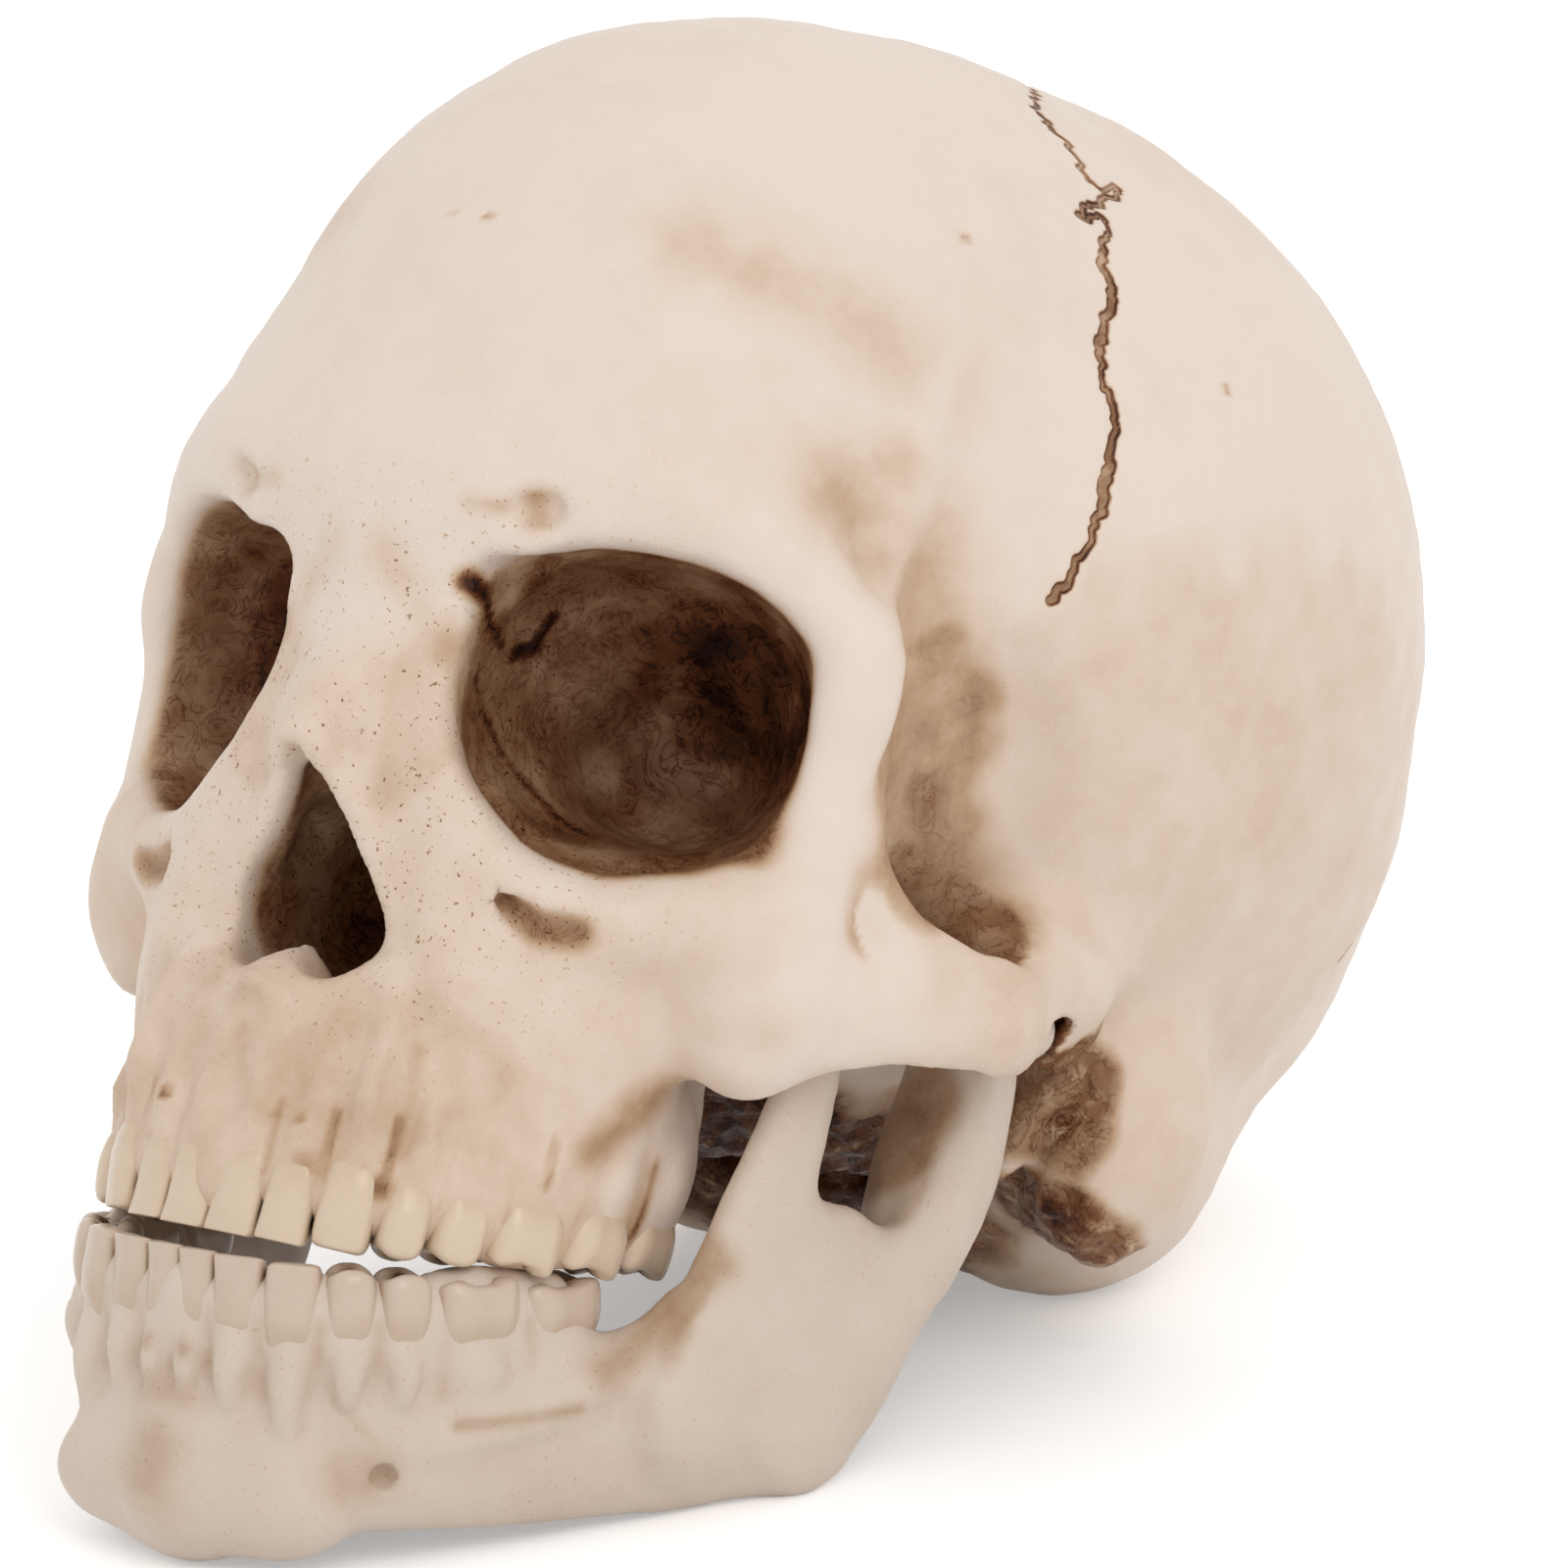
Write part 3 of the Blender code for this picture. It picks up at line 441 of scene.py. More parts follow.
UPPER_TEETH = (
    ("incisor_1", "incisor", 6.5, 0.85, 1.10), ("incisor_2", "incisor", 6.1, 0.80, 1.04),
    ("canine", "canine", 6.7, 0.98, 1.10), ("premolar_1", "premolar", 5.6, 1.05, 0.94),
    ("premolar_2", "premolar", 6.4, 1.08, 0.88), ("molar_1", "molar", 9.5, 1.25, 0.84),
    ("molar_2", "molar", 9.7, 1.22, 0.80), ("molar_3", "molar", 8.8, 1.10, 0.74),
)
LOWER_TEETH = (
    ("incisor_1", "incisor", 4.6, 0.78, 0.95), ("incisor_2", "incisor", 5.9, 0.80, 0.95),
    ("canine", "canine", 6.4, 0.95, 1.00), ("premolar_1", "premolar", 5.8, 0.95, 0.90),
    ("premolar_2", "premolar", 6.1, 1.00, 0.82), ("molar_1", "molar", 10.9, 1.25, 0.74),
    ("molar_2", "molar", 12.6, 1.22, 0.70),
)
TOOTH_DEPTH = 8.0
CROWN_HEIGHT = 9.0
CROWN_OVERLAP = 0.12
CROWN_SQUARENESS = 2.9
ARCH_SQUARENESS = 2.45
# Height, width and depth shares from the root to the tip
TOOTH_RINGS = {
    "incisor": ((-0.6, 0.82, 0.5), (-0.25, 0.90, 0.64), (0, 0.94, 0.77), (0.15, 0.97, 0.86),
    (0.35, 0.99, 0.88), (0.55, 1.0, 0.79), (0.75, 1.0, 0.67), (0.9, 1.0, 0.54), (0.97, 0.98, 0.43),
    (1.0, 0.9, 0.28)),
    "canine": ((-0.6, 0.82, 0.54), (-0.25, 0.90, 0.68), (0, 0.94, 0.80), (0.18, 0.97, 0.93),
    (0.4, 1.0, 0.97), (0.6, 1.0, 0.88), (0.78, 0.98, 0.74), (0.9, 0.94, 0.58), (0.97, 0.86, 0.46),
    (1.0, 0.7, 0.3)),
    "premolar": ((-0.6, 0.82, 0.54), (-0.25, 0.90, 0.68), (0, 0.94, 0.80), (0.2, 0.98, 0.93),
    (0.45, 1.0, 1.0), (0.68, 1.0, 0.96), (0.85, 0.98, 0.88), (0.95, 0.88, 0.74), (0.97, 0.58, 0.5),
    (0.9, 0.25, 0.25)),
    "molar": ((-0.6, 0.86, 0.58), (-0.25, 0.93, 0.72), (0, 0.96, 0.83), (0.2, 0.99, 0.94), (0.45, 1.0, 1.0),
    (0.7, 1.0, 0.97), (0.86, 0.99, 0.9), (0.96, 0.9, 0.79), (0.97, 0.6, 0.54), (0.88, 0.28, 0.26)),
}


def superellipse(angle, power):
    c, s = np.cos(angle), np.sin(angle)
    return np.sign(c) * np.abs(c) ** (2 / power), np.sign(s) * np.abs(s) ** (2 / power)


def arch_place(distance, half_width, depth):
    """Where a walk along the tooth row ends: sideways, behind the front, and the heading there."""
    c, s = superellipse(np.linspace(0, math.pi / 2, 401), ARCH_SQUARENESS)
    walk = np.stack([half_width * s, depth * (1 - c)], 1)
    strides = np.diff(walk, axis=0)
    walked = np.concatenate([[0], np.cumsum(np.linalg.norm(strides, axis=1))])
    if distance >= walked[-1]:
        return half_width, depth + distance - walked[-1], math.pi / 2
    i = int(np.searchsorted(walked, distance, side="right")) - 1
    spot = walk[i] + strides[i] * (distance - walked[i]) / (walked[i + 1] - walked[i])
    return spot[0], spot[1], math.atan2(strides[i][1], strides[i][0])


class Row:
    def __init__(self, name, sizes, arch, front, edge, slope, up):
        self.up = up
        self.teeth = []
        for side_name, side in (("left", 1), ("right", -1)):
            distance = 0
            for label, kind, wide, deep, high in sizes:
                x, behind, heading = arch_place(distance + wide / 2, *arch)
                distance += wide
                crown = high * CROWN_HEIGHT
                neck = np.array([side * x, front + behind, edge + behind * math.tan(slope) - up * crown])
                out = np.array([math.sin(side * heading), -math.cos(side * heading), 0])
                self.teeth.append({
                    "node": f"{name}_{side_name}_{label}", "kind": kind, "side": side,
                    "size": (wide + CROWN_OVERLAP, deep * TOOTH_DEPTH, crown), "neck": neck,
                    "heading": side * heading, "out": out,
                })


def tooth_mesh(kind, width, depth, crown):
    """Points, faces and the number for the brown between the crowns, partly stain and partly painted shade,
    lip side towards -Y, tip towards +Z.
    """
    rings = smooth_path(TOOTH_RINGS[kind], 3)
    sides = 32
    angle = math.tau * (np.arange(sides) + 0.5) / sides
    c, s = superellipse(angle, CROWN_SQUARENESS)
    full = max(deep for _, _, deep in TOOTH_RINGS[kind])
    points, brown = [], []
    for i, (high, wide, deep) in enumerate(rings):
        lean = {"incisor": 0.42, "canine": 0.30}.get(kind, 0.0) * max(high, 0) * (full - deep)
        x, y, z = c * wide * width / 2, s * deep * depth / 2 - lean * depth, np.full(sides, high * crown)
        if kind in ("molar", "premolar") and high > 0.5:
            bumps, start = (4, math.pi / 4) if kind == "molar" else (2, math.pi / 2)
            rise = min((high - 0.5) / 0.4, 1)
            z = z + crown * 0.055 * rise * np.cos(bumps * (angle - start))
        if kind == "molar" and high > 0.1:
            for at in (-math.pi / 2, math.pi / 2):
                gap = np.angle(np.exp(1j * (angle - at)))
                y = y * (1 - 0.07 * np.exp(-(gap / 0.2) ** 2))
        if kind == "incisor" and high > 0.3:
            y = y - 0.10 * np.cos(x / width * math.tau * 1.5) * (y < 0)
        points.append(np.stack([x, y, z], 1))
        # Half way up the sides where neighbouring crowns meet: brown stain and painted shade of the slit
        # between them
        between = np.clip((np.abs(c) - 0.95) / 0.04, 0, 1) * np.clip(1.35 - abs(high - 0.6) * 3.4, 0, 1)
        collar = np.full(sides, max(0.2 - high * 0.4, 0))
        pit = np.clip((i - len(rings) + 5) / 4, 0, 1) * (0.9 if kind in ("molar", "premolar") else 0)
        brown.append(np.clip(np.maximum(between, collar) + pit, 0, 1))
    points = np.concatenate(points)
    faces = []
    for i in range(len(rings) - 1):
        for k in range(sides):
            n = (k + 1) % sides
            faces.append((i * sides + k, i * sides + n, (i + 1) * sides + n, (i + 1) * sides + k))
    faces.append(tuple(range(sides))[::-1])
    faces.append(tuple((len(rings) - 1) * sides + k for k in range(sides)))
    return points, faces, np.concatenate(brown)


UPPER = Row("upper", UPPER_TEETH, (28.9, 41.5), -89.2, -53, math.radians(11), -1)
LOWER = Row("lower", LOWER_TEETH, (27.6, 42), -86.1, 33.4, -math.radians(6.2), 1)


def gum_clay(clay, row, drop, stretch, reach):
    """The bone that carries a row: a ridge, and a swelling over each root, level with its crown's lip
    side."""
    left = [t for t in row.teeth if t["side"] == 1]
    up = np.array([0, 0, row.up])
    ridge = [[*(t["neck"] + up * (t["size"][2] - drop)), 0.5 * t["size"][1] - 0.8] for t in left]
    clay.bar([[0, ridge[0][1] - 0.3, *ridge[0][2:]]] + ridge, 2.5, flat=((0, 0, 1), 1 / stretch))
    for t in left:
        width, deep = t["size"][:2]
        long = reach * {"canine": 1.4, "incisor": 1.0}.get(t["kind"], 0.8)
        face = deep * 0.44
        clay.bar([
            [*(t["neck"] + t["out"] * (face - 0.40 * width) - up * (0.40 * width - 2)), 0.40 * width],
            [*(t["neck"] + t["out"] * (face - 0.32 * width + 1.1) - up * long * 0.5), 0.32 * width],
            [*(t["neck"] + t["out"] * (face - 0.24 * width + 0.2) - up * long), 0.22 * width],
        ], 0.7, steps=3)
        clay.bar([
            [*(t["neck"] - t["out"] * (face - 0.42 * width) - up * (0.42 * width - 1)), 0.42 * width],
            [*(t["neck"] - t["out"] * (face - 0.42 * width) - up * 7), 0.38 * width],
        ], 2, steps=2)


ROOT_BROWN = (0.28, 0.36, 0.4, 0.2, 0.32, 0.24, 0.5)


def root_lines(row, amounts):
    """Brown lines in the grooves between the roots."""
    left = [t for t in row.teeth if t["side"] == 1]
    rows = []
    for a, b, amount in zip(left, left[1:], amounts):
        middle = (a["neck"] + b["neck"]) / 2 + (a["out"] + b["out"]) * 0.2 * a["size"][1]
        rows.append(([middle + [0, 0, 2.0 * row.up], middle - [0, 0, 6.0 * row.up]], 1.1, amount))
    return rows


# The lower jaw

def jaw_clay():
    c = Clay((0, -100, -4), (62, 14, 70), JAW_STEP)
    c.bar([(0, -82.8, 12.2, 4.7), (11.2, -81, 12.2, 4.7), (20.6, -72, 12.7, 4.8), (28.7, -57.8, 13.2, 4.9),
        (36, -42.2, 13.9, 5.0), (42, -30, 15, 4.8)], 4, flat=((0, 0, 1), 0.46))
    c.ball((0, -84.6, 7), (13, 4.2, 6.6), 6)
    c.ball((13.6, -82.8, 5.0), (5.4, 4.4, 4.4), 5)
    c.bar([(44.1, -26.5, 12.9, 7.0), (46.6, -17.4, 23.6, 5.8), (48.2, -9.6, 32, 5.6), (49, -4.6, 40, 5.2),
        (49, -0.6, 50, 4.3)], 4, flat=((1, 0, 0), 1.8))
    c.bar([(39.9, -44.2, 16, 8.0), (42.4, -37.6, 33.8, 6.8), (43.8, -31, 49.8, 5.1), (44.4, -27.8, 59, 3.0)],
        4, flat=((1, 0, 0), 1.8))
    c.ball((44.2, -27, 22.6), (4.2, 16, 15.5), 5)
    c.bar([(42.5, -11, 32, 2.6), (41, -6.5, 40, 2.6), (41.6, -3.6, 47, 2.6), (43, -1, 54, 3)], 4)
    c.bar([(45.5, -10, 34, 6.4), (45.4, -6.8, 42, 6.2), (46, -3.2, 52, 5.6)], 4, flat=((0, 1, 0), 2.1))
    c.bar([(45.6, 0, 57.0, 3.9), (49, 0, 57.5, 4.3), (52.4, 0, 57.0, 3.9)], 3)
    gum_clay(c, LOWER, 6.8, 1.9, 8)
    # The line that runs from the chin up to the ramus, the chin, the nerve's hole
    c.bar([(26, -71.5, 13, 1.6), (30.6, -64, 15.4, 2.0), (34.6, -54, 19.5, 2.2), (39.0, -45.5, 27, 2.2)], 3)
    c.bar([(0, -88.2, 5.0, 2.0), (0, -87.0, 12, 1.6)], 4)
    c.bar([(24.2, -80.6, 9.4, 1.3), (21.8, -76.4, 9.2, 1.4)], 0.8, cut=True)
    return c


# From clay to pieces

CORONAL = (
    (2, 6, 117), (9, -3, 114.5), (16, -10, 111), (23, -18, 107.5), (29, -25, 103), (36, -26, 98.1),
    (40.3, -26.4, 94.2),
    (40.9, -21.3, 95.1), (43.1, -32, 88.7), (43.9, -27, 89.2), (47.4, -31.4, 83.8), (49.7, -30.9, 79.4),
    (52.3, -34.5, 73.1),
    (54.5, -34.9, 67.7), (55.5, -33.3, 64.7), (57, -34.1, 57.5), (57.4, -34.7, 50.3), (56.8, -36.5, 43.8),
    (56.1, -38, 40.7),
)
SEAMS = (
    (CORONAL, (0.9, 1.0, 1.0, 0.8, 0.6, 0.5, 0.5, 0.6), 4.4, 3, 1.0),
    (((0, 6, 117), (0, 30, 113), (0, 55, 97), (0, 74, 72)), (0.8, 1.6, 1.6, 1.0), 6.0, 5, 0.75),
    (((0, 74, 72), (22, 70, 60), (42, 58, 40), (52, 46, 18)), (1.2, 1.8, 1.6, 0.8), 6.5, 7, 0.75),
)
SEAM_CENTRE = (0, -2, 42)
EYE_AIM, NOSE_AIM = (32.3, -84.6, 14.6), (-3, -93, -11)
# Where brown settles: centre, radii, amount, the point that stained faces turn to, the mouth they lie behind
TINTS = (
    ((27, -62, 14.5), (34, 38, 30), 0.49, EYE_AIM, "eye"),
    ((29, -50, 23), (21, 19, 18), 0.62, EYE_AIM, "eye"),
    ((30, -50, 23), (15, 14, 13), 0.76, EYE_AIM, "eye"),
    ((10, -77, 15), (9, 14, 15), 0.34, EYE_AIM, None),
    ((0, -70, -10), (18, 30, 28), 0.46, NOSE_AIM, "nose"),
    ((8, -62, -12), (11, 13, 13), 0.56, NOSE_AIM, "nose"),
    ((47, -46, 12), (12, 18, 30), 0.34, (62, -36, 4), None),
    ((48, -36, -2), (16, 20, 16), 0.48, (52, -36, -2), None),
    ((50, -4, -13), (11, 10.5, 15), 0.5, None, None), ((42, 9, -27), (17, 17, 10), 0.54, None, None),
    ((49, -18, -6), (10, 10, 10), 0.75, (49, -18, -8), None), ((0, -10, -29), (44, 34, 24), 0.7, None, None),
    ((0, 42, -30), (40, 36, 14), 0.12, (0, 40, -80), None),
    ((0, -60, -38), (20, 26, 12), 0.3, (0, -60, -70), None),
    ((66, 5, 14), (30, 70, 52), 0.1, None, None), ((10, -84, 8), (9, 10, 18), 0.17, None, None),
    ((0, -80, -42), (48, 34, 30), 0.17, None, None), ((0, -78, -12), (66, 36, 38), 0.1, None, None),
    ((0, 12, -27), (36, 36, 14), 0.6, None, None),
)
TEMPORAL_LINE = ((49, -63, 28), (46.8, -58.9, 35.4), (47.1, -59.2, 40), (48.1, -57.7, 45), (47.8, -57.3, 52),
    (47.4, -56.6, 59.4), (46.5, -54, 68))
STREAKS = (
    ([(26.6, -79.5, 68.5), (32.9, -74.5, 67.3), (38.4, -68.8, 65.1), (43.2, -61.9, 63.3), (46.8, -57, 60.7)],
    6.6, 0.15),
    ([(48.3, -56, 40), (49.3, -52.6, 32.4), (48.9, -46.7, 22.6), (47.6, -38.3, 12.9), (49.2, -27.6, 6.3)], 9,
    0.28),
    ([(46.8, -40, 17), (46, -31, 8), (50, -27, 4)], 8, 0.4),
    ([(50.5, -28, 6), (53.4, -27.9, 2), (55.5, -25.5, 1.5)], 2.2, 0.5),
    ([(3.2, -91.5, 26.5), (6.4, -89.5, 22.7), (8.7, -88, 18.7)], 3, 0.28),
    ([(9, -88.5, 16), (13, -86, 6), (18, -83, -3)], 5.5, 0.16),
    ([(23.4, -81, -9.4), (28, -80, -12), (32, -78.6, -11.8)], 2.8, 0.46),
    ([(14, -93, 33), (19.5, -92, 32.8)], 1.3, 0.2),
    ([(10.4, -69.3, 25.4), (8.7, -69, 21.6), (8.6, -72.1, 20.2)], 1.7, 1.0),
    ([(13, -89, 24.7), (12.7, -85.1, 24)], 1.6, 0.95),
    ([(12.7, -85.1, 24), (11.2, -80.8, 21), (9.3, -75.5, 20.5)], 0.9, 0.85),
    ([(10.5, -80.4, 15.2), (8.9, -73.6, 11), (10.8, -66.3, 6.1), (17.7, -62.3, 2.1)], 1.5, 0.74),
    ([(22, -82, -18), (27, -80, -28)], 8, 0.12),
    ([(35.4, -59.9, -25.1), (34.3, -64.4, -29.7), (32.8, -66.8, -34)], 4.6, 0.34),
    ([(-0.6, -93.6, -30), (0.6, -93.4, -39)], 3.0, 0.3),
    ([(20.2, -85.9, -28.5), (20.7, -86, -34.1), (20.7, -85.7, -39.7)], 2.6, 0.26),
    ([(15.4, -87.6, -22), (17.6, -88.2, -29)], 1.3, 0.16), ([(25.6, -81, -28), (26.4, -80, -38)], 1.6, 0.22),
    ([(30.6, -72, -33), (30.9, -71.4, -39.5)], 0.9, 0.38),
    ([(31, -57.5, -33), (31.1, -56.3, -44)], 2.2, 0.46),
)
STAINS = (
    (45.2, -66.4, 43.5, 8.4, 0.25), (47.6, -63, 38, 6, 0.24), (46.5, -61.5, 49.6, 5, 0.2),
    (21.6, -91, 33.2, 2.1, 0.72), (0.9, -92.2, 35.3, 1.6, 0.35), (48.5, 0, -15, 5, 0.7),
    (47.5, 6, -24, 4.5, 0.8),
    (-10, -91.4, -38.8, 1.2, 0.55), (6.9, -91.9, -39.3, 1.2, 0.6), (11.3, -90.3, -43.7, 2.4, 0.34),
    (19.4, -86.1, -44.5, 2.2, 0.5),
    (30.9, -76, -34.2, 2.0, 0.3), (-7.6, -91.4, 32.9, 0.8, 0.7), (2.6, -89, 67.3, 0.7, 0.5),
    (42, -51.3, 79.5, 0.7, 0.5),
    (58.7, -16.6, 72.9, 0.8, 0.6),
)
JAW_TINTS = (
    # First row: the front face of the condyle's neck under the arch, darker towards its inner side: brown
    # stain and painted shade
    ((41, -7, 45), (10, 9, 15), 0.36, (30, -60, 47), None),
    ((40, -44, 27), (7, 9, 13), 0.3, (36, -50, 45), None),
    ((44, -22, 40), (7, 24, 24), 0.12, (20, -22, 40), None),
)
JAW_STREAKS = (
    ([(21.4, -77.8, 9.4), (19.8, -80.6, 9.2)], 3.6, 0.18), ([(0.6, -91.6, 7), (0.6, -91.7, 11)], 4.2, 0.18),
    ([(-1.5, -88.9, 17.5), (3, -88.8, 17)], 2.6, 0.15),
    ([(27.9, -71.3, 15.3), (32, -65.5, 16), (35.2, -58.4, 16.8)], 0.9, 0.26),
    ([(36.3, -55.2, 20.8), (39.3, -48.8, 27.2), (43.4, -45, 33)], 2.6, 0.3),
    ([(18.4, -82, 18.4), (22, -77.7, 12.8)], 0.7, 0.1),
)
JAW_STAINS = ((21.3, -78, 9.5, 1.2, 0.28), (2.8, -90, 22.4, 1.4, 0.3), (41, -8, 38, 5, 0.5))


def mesh_piece(name, points, faces, place, body, nodes, look, numbers):
    """An object in world metres from a sculpt's millimetres, that stands for CAD nodes."""
    mesh = bpy.data.meshes.new(name)
    at = np.c_[points, np.ones(len(points))] @ np.array(place).T
    at = at[:, :3]
    at[:, 2] = np.maximum(at[:, 2], FLOOR_LIFT)
    mesh.from_pydata(at.tolist(), [], faces.tolist() if hasattr(faces, "tolist") else faces)
    mesh.shade_smooth()
    for label, values in numbers.items():
        layer = mesh.attributes.new(label, "FLOAT", "POINT")
        layer.data.foreach_set("value", np.asarray(values, np.float32))
    mesh.materials.append(look)
    made = bpy.data.objects.new(name, mesh)
    bpy.context.scene.collection.objects.link(made)
    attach(made, body)
    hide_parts(*nodes)
    return made


def filled(clay, radius):
    """How much of the room round each spot is solid, 0 to 1."""
    return blurred((clay.d < 0).astype(np.float32), max(round(radius / clay.step), 1))


def refined(points, faces, chosen, cuts):
    """The surface with a finer grid between chosen points: points, faces, and each point's way out."""
    mesh = bpy.data.meshes.new("refined")
    mesh.from_pydata(points.tolist(), [], faces.tolist())
    finer = bmesh.new()
    finer.from_mesh(mesh)
    edges = [e for e in finer.edges if chosen[e.verts[0].index] and chosen[e.verts[1].index]]
    bmesh.ops.subdivide_edges(finer, edges=edges, cuts=cuts, use_grid_fill=True)
    finer.to_mesh(mesh)
    finer.free()
    points, out = np.empty(len(mesh.vertices) * 3), np.empty(len(mesh.vertices) * 3)
    mesh.vertices.foreach_get("co", points)
    mesh.vertex_normals.foreach_get("vector", out)
    faces = [tuple(p.vertices) for p in mesh.polygons]
    bpy.data.meshes.remove(mesh)
    return points.reshape(-1, 3), faces, out.reshape(-1, 3)


def seam_gaps(points):
    """Each point's distance to the nearest skull seam, as seen from inside the vault, and that seam's
    strength."""
    spread = 68.0
    around = points - SEAM_CENTRE
    around = around / np.linalg.norm(around, axis=1)[:, None] * spread
    gap, strength = np.full(len(points), 99.0), np.zeros(len(points))
    for rows, size, wave, seed, amount in SEAMS:
        for side in (1, -1):
            line = zigzag(rows, size, wave, seed + (side < 0)) * [side, 1, 1] - SEAM_CENTRE
            line = line / np.linalg.norm(line, axis=1)[:, None] * spread
            found = to_line(around, line)
            strength = np.where(found < gap, amount, strength)
            gap = np.minimum(gap, found)
    return gap, strength


def cranium():
    c = cranium_clay()
    gum_clay(c, UPPER, 8.4, 2.0, 11)
    # Hollows and the canine's ridge over the upper roots
    c.bar([(13.8, -85.2, -20.5, 2.4), (16.8, -86.8, -28.4, 2.8), (17.4, -87.0, -35.2, 3.0)], 1.6)
    c.bar([(0, -95, -28, 2.6), (0, -95.2, -38.5, 3.4)], 1.4, cut=True)
    c.bar([(7.4, -94.4, -28, 2.6), (9.0, -94.2, -37, 3.2)], 1.4, cut=True)
    c.bar([(20.9, -88.6, -24.5, 2.0), (21.2, -88.4, -33, 3.0), (21.2, -87.8, -40, 2.4)], 1.6, cut=True)
    c.bar([(27.4, -83.2, -27, 2.2), (27.6, -82.2, -37, 2.8)], 1.8, cut=True)
    # The nerve's hollow below the eye, the notch above it
    c.bar([(23.4, -82.6, -9.4, 1.3), (28, -81.6, -12, 1.9), (32, -80, -11.8, 2.0)], 1.0, cut=True)
    c.bar([(18.6, -92.6, 32.7, 1.0), (20.4, -91.4, 32.9, 1.7), (22.8, -90.4, 33.3, 2.1)], 1.2, cut=True)
    # The joint's hollow
    c.bar([(42, -18, -6, 5.2), (52.6, -18, -6, 5.2)], 1.0, cut=True)
    for angle in (18, 28, 38):
        lean = math.radians(angle)
        c.bar([(49, -18, -6, 5.2), (49, -18 + 26 * math.sin(lean), -6 - 26 * math.cos(lean), 6.5)], 1.0,
            cut=True)
    fine = filled(c, 1.2)
    for centre, radii in (((0, -30.6, 60.2), (42, 48.8, 29.4)), ((0, 10.8, 46.2), (61.2, 59.6, 60.6)),
        ((0, 36, 25.2), (46.2, 43.4, 42))):
        c.ball(centre, radii, 3, cut=True)
    c.ball((0, 14.4, -14), (15, 18, 60), 2, cut=True)
    points, faces = surface(c)
    outside = np.linalg.norm((points - SEAM_CENTRE) / (62, 72, 68), axis=1) > 0.93
    points, faces, out = refined(points, faces, (seam_gaps(points)[0] < 2.4) & outside, 3)
    tight = c.sample(fine, points)
    gap, strength = seam_gaps(points)
    outward = np.einsum("ij,ij->i", out, points - SEAM_CENTRE) > 0
    wide = np.clip(0.5 + 0.16 * ripples(points, 7, 5), 0.25, 0.9) * (1 - 0.35 * fade(points[:, 2], 78, 90))
    seam = np.maximum(0.5 * fade(gap, wide + 0.15, wide - 0.15),
        0.95 * np.exp(-((gap - wide) / 0.2) ** 2)) * strength * outward
    brown = tints(points, out, TINTS) * np.clip(0.99 + 0.08 * ripples(points, 11, 21), 0.8, 1.2)
    brown = np.maximum(brown, streaks(points, STREAKS + tuple(root_lines(UPPER, ROOT_BROWN)), 0.8))
    left_side = np.c_[np.abs(points[:, 0]), points[:, 1:]]
    brown *= 1 - 0.8 * np.exp(-(to_line(left_side, TEMPORAL_LINE) / 2.4) ** 2)
    brown = np.maximum(brown, spots(points, STAINS, 0.6))
    # The rough brown base: real bumps in the surface, and lighter noise patches in the look that are painted
    # highlights
    rough_and_painted_highlights = np.clip(brown * 2 - 0.4, 0, 1) * fade(points[:, 2], 5, -6) * fade(points[:, 1], -48, -38)
    height = 0.14 * ripples(points, 16, 1) + 0.05 * ripples(points, 5, 2, 14)
    height += rough_and_painted_highlights * (0.6 * ripples(points, 6.5, 3, 14) + 0.42 * ripples(points, 3, 4, 14))
    height -= 0.5 * np.exp(-(gap / 0.75) ** 2) * strength * outward
    height += np.clip(brown * 5 - 3.2, 0, 1) * 0.3 * ripples(points, 3.4, 8, 14)
    points = points + out * height[:, None]
    dots = 0.9 * fade(np.linalg.norm((points - [0, -80, 8]) / (50, 26, 44), axis=1), 1.15, 0.55)
    numbers = {"brown": brown, "grime": np.clip((tight - 0.58) * 3, 0, 1), "seam": seam, "dots": dots,
        "rough_and_painted_highlights": rough_and_painted_highlights}
    return mesh_piece("cranium_surface", points, faces, CRANIUM_PLACE, "cranium", ["cranium"],
        BONE, numbers)


def jaw():
    c = jaw_clay()
    fine = filled(c, 1.1)
    points, faces = surface(c)
    points, faces, out = refined(points, faces, np.zeros(len(points), bool), 1)
    tight = c.sample(fine, points)
    brown = tints(points, out, JAW_TINTS) * np.clip(0.92 + 0.16 * ripples(points, 9, 31), 0.6, 1.25)
    brown = np.maximum(brown, streaks(points,
        JAW_STREAKS + tuple(root_lines(LOWER, (0.1, 0.12, 0.14, 0.14, 0.12, 0.12))), 0.8))
    brown = np.maximum(brown, spots(points, JAW_STAINS, 0.8))
    height = 0.12 * ripples(points, 14, 11) + 0.05 * ripples(points, 4.5, 12, 14)
    points = points + out * height[:, None]
    numbers = {"brown": brown, "grime": np.clip((tight - 0.58) * 3, 0, 1), "seam": np.zeros(len(points)),
               "dots": np.full(len(points), 0.15), "rough_and_painted_highlights": np.zeros(len(points))}
    return mesh_piece("jaw_surface", points, faces, JAW_PLACE, "jaw", ["mandible"], JAW_BONE,
        numbers)


def teeth(row, place, body, look):
    for tooth in row.teeth:
        points, faces, brown = tooth_mesh(tooth["kind"], *tooth["size"])
        turn = Matrix.Rotation(tooth["heading"], 4, "Z")
        if row.up < 0:
            turn = turn @ Matrix.Rotation(math.pi, 4, "Y")
        spot = place @ Matrix.Translation(tooth["neck"]) @ turn
        mesh_piece(tooth["node"] + "_crown", points, faces, spot, body, [tooth["node"]], look,
            {"brown": brown})


# Looks

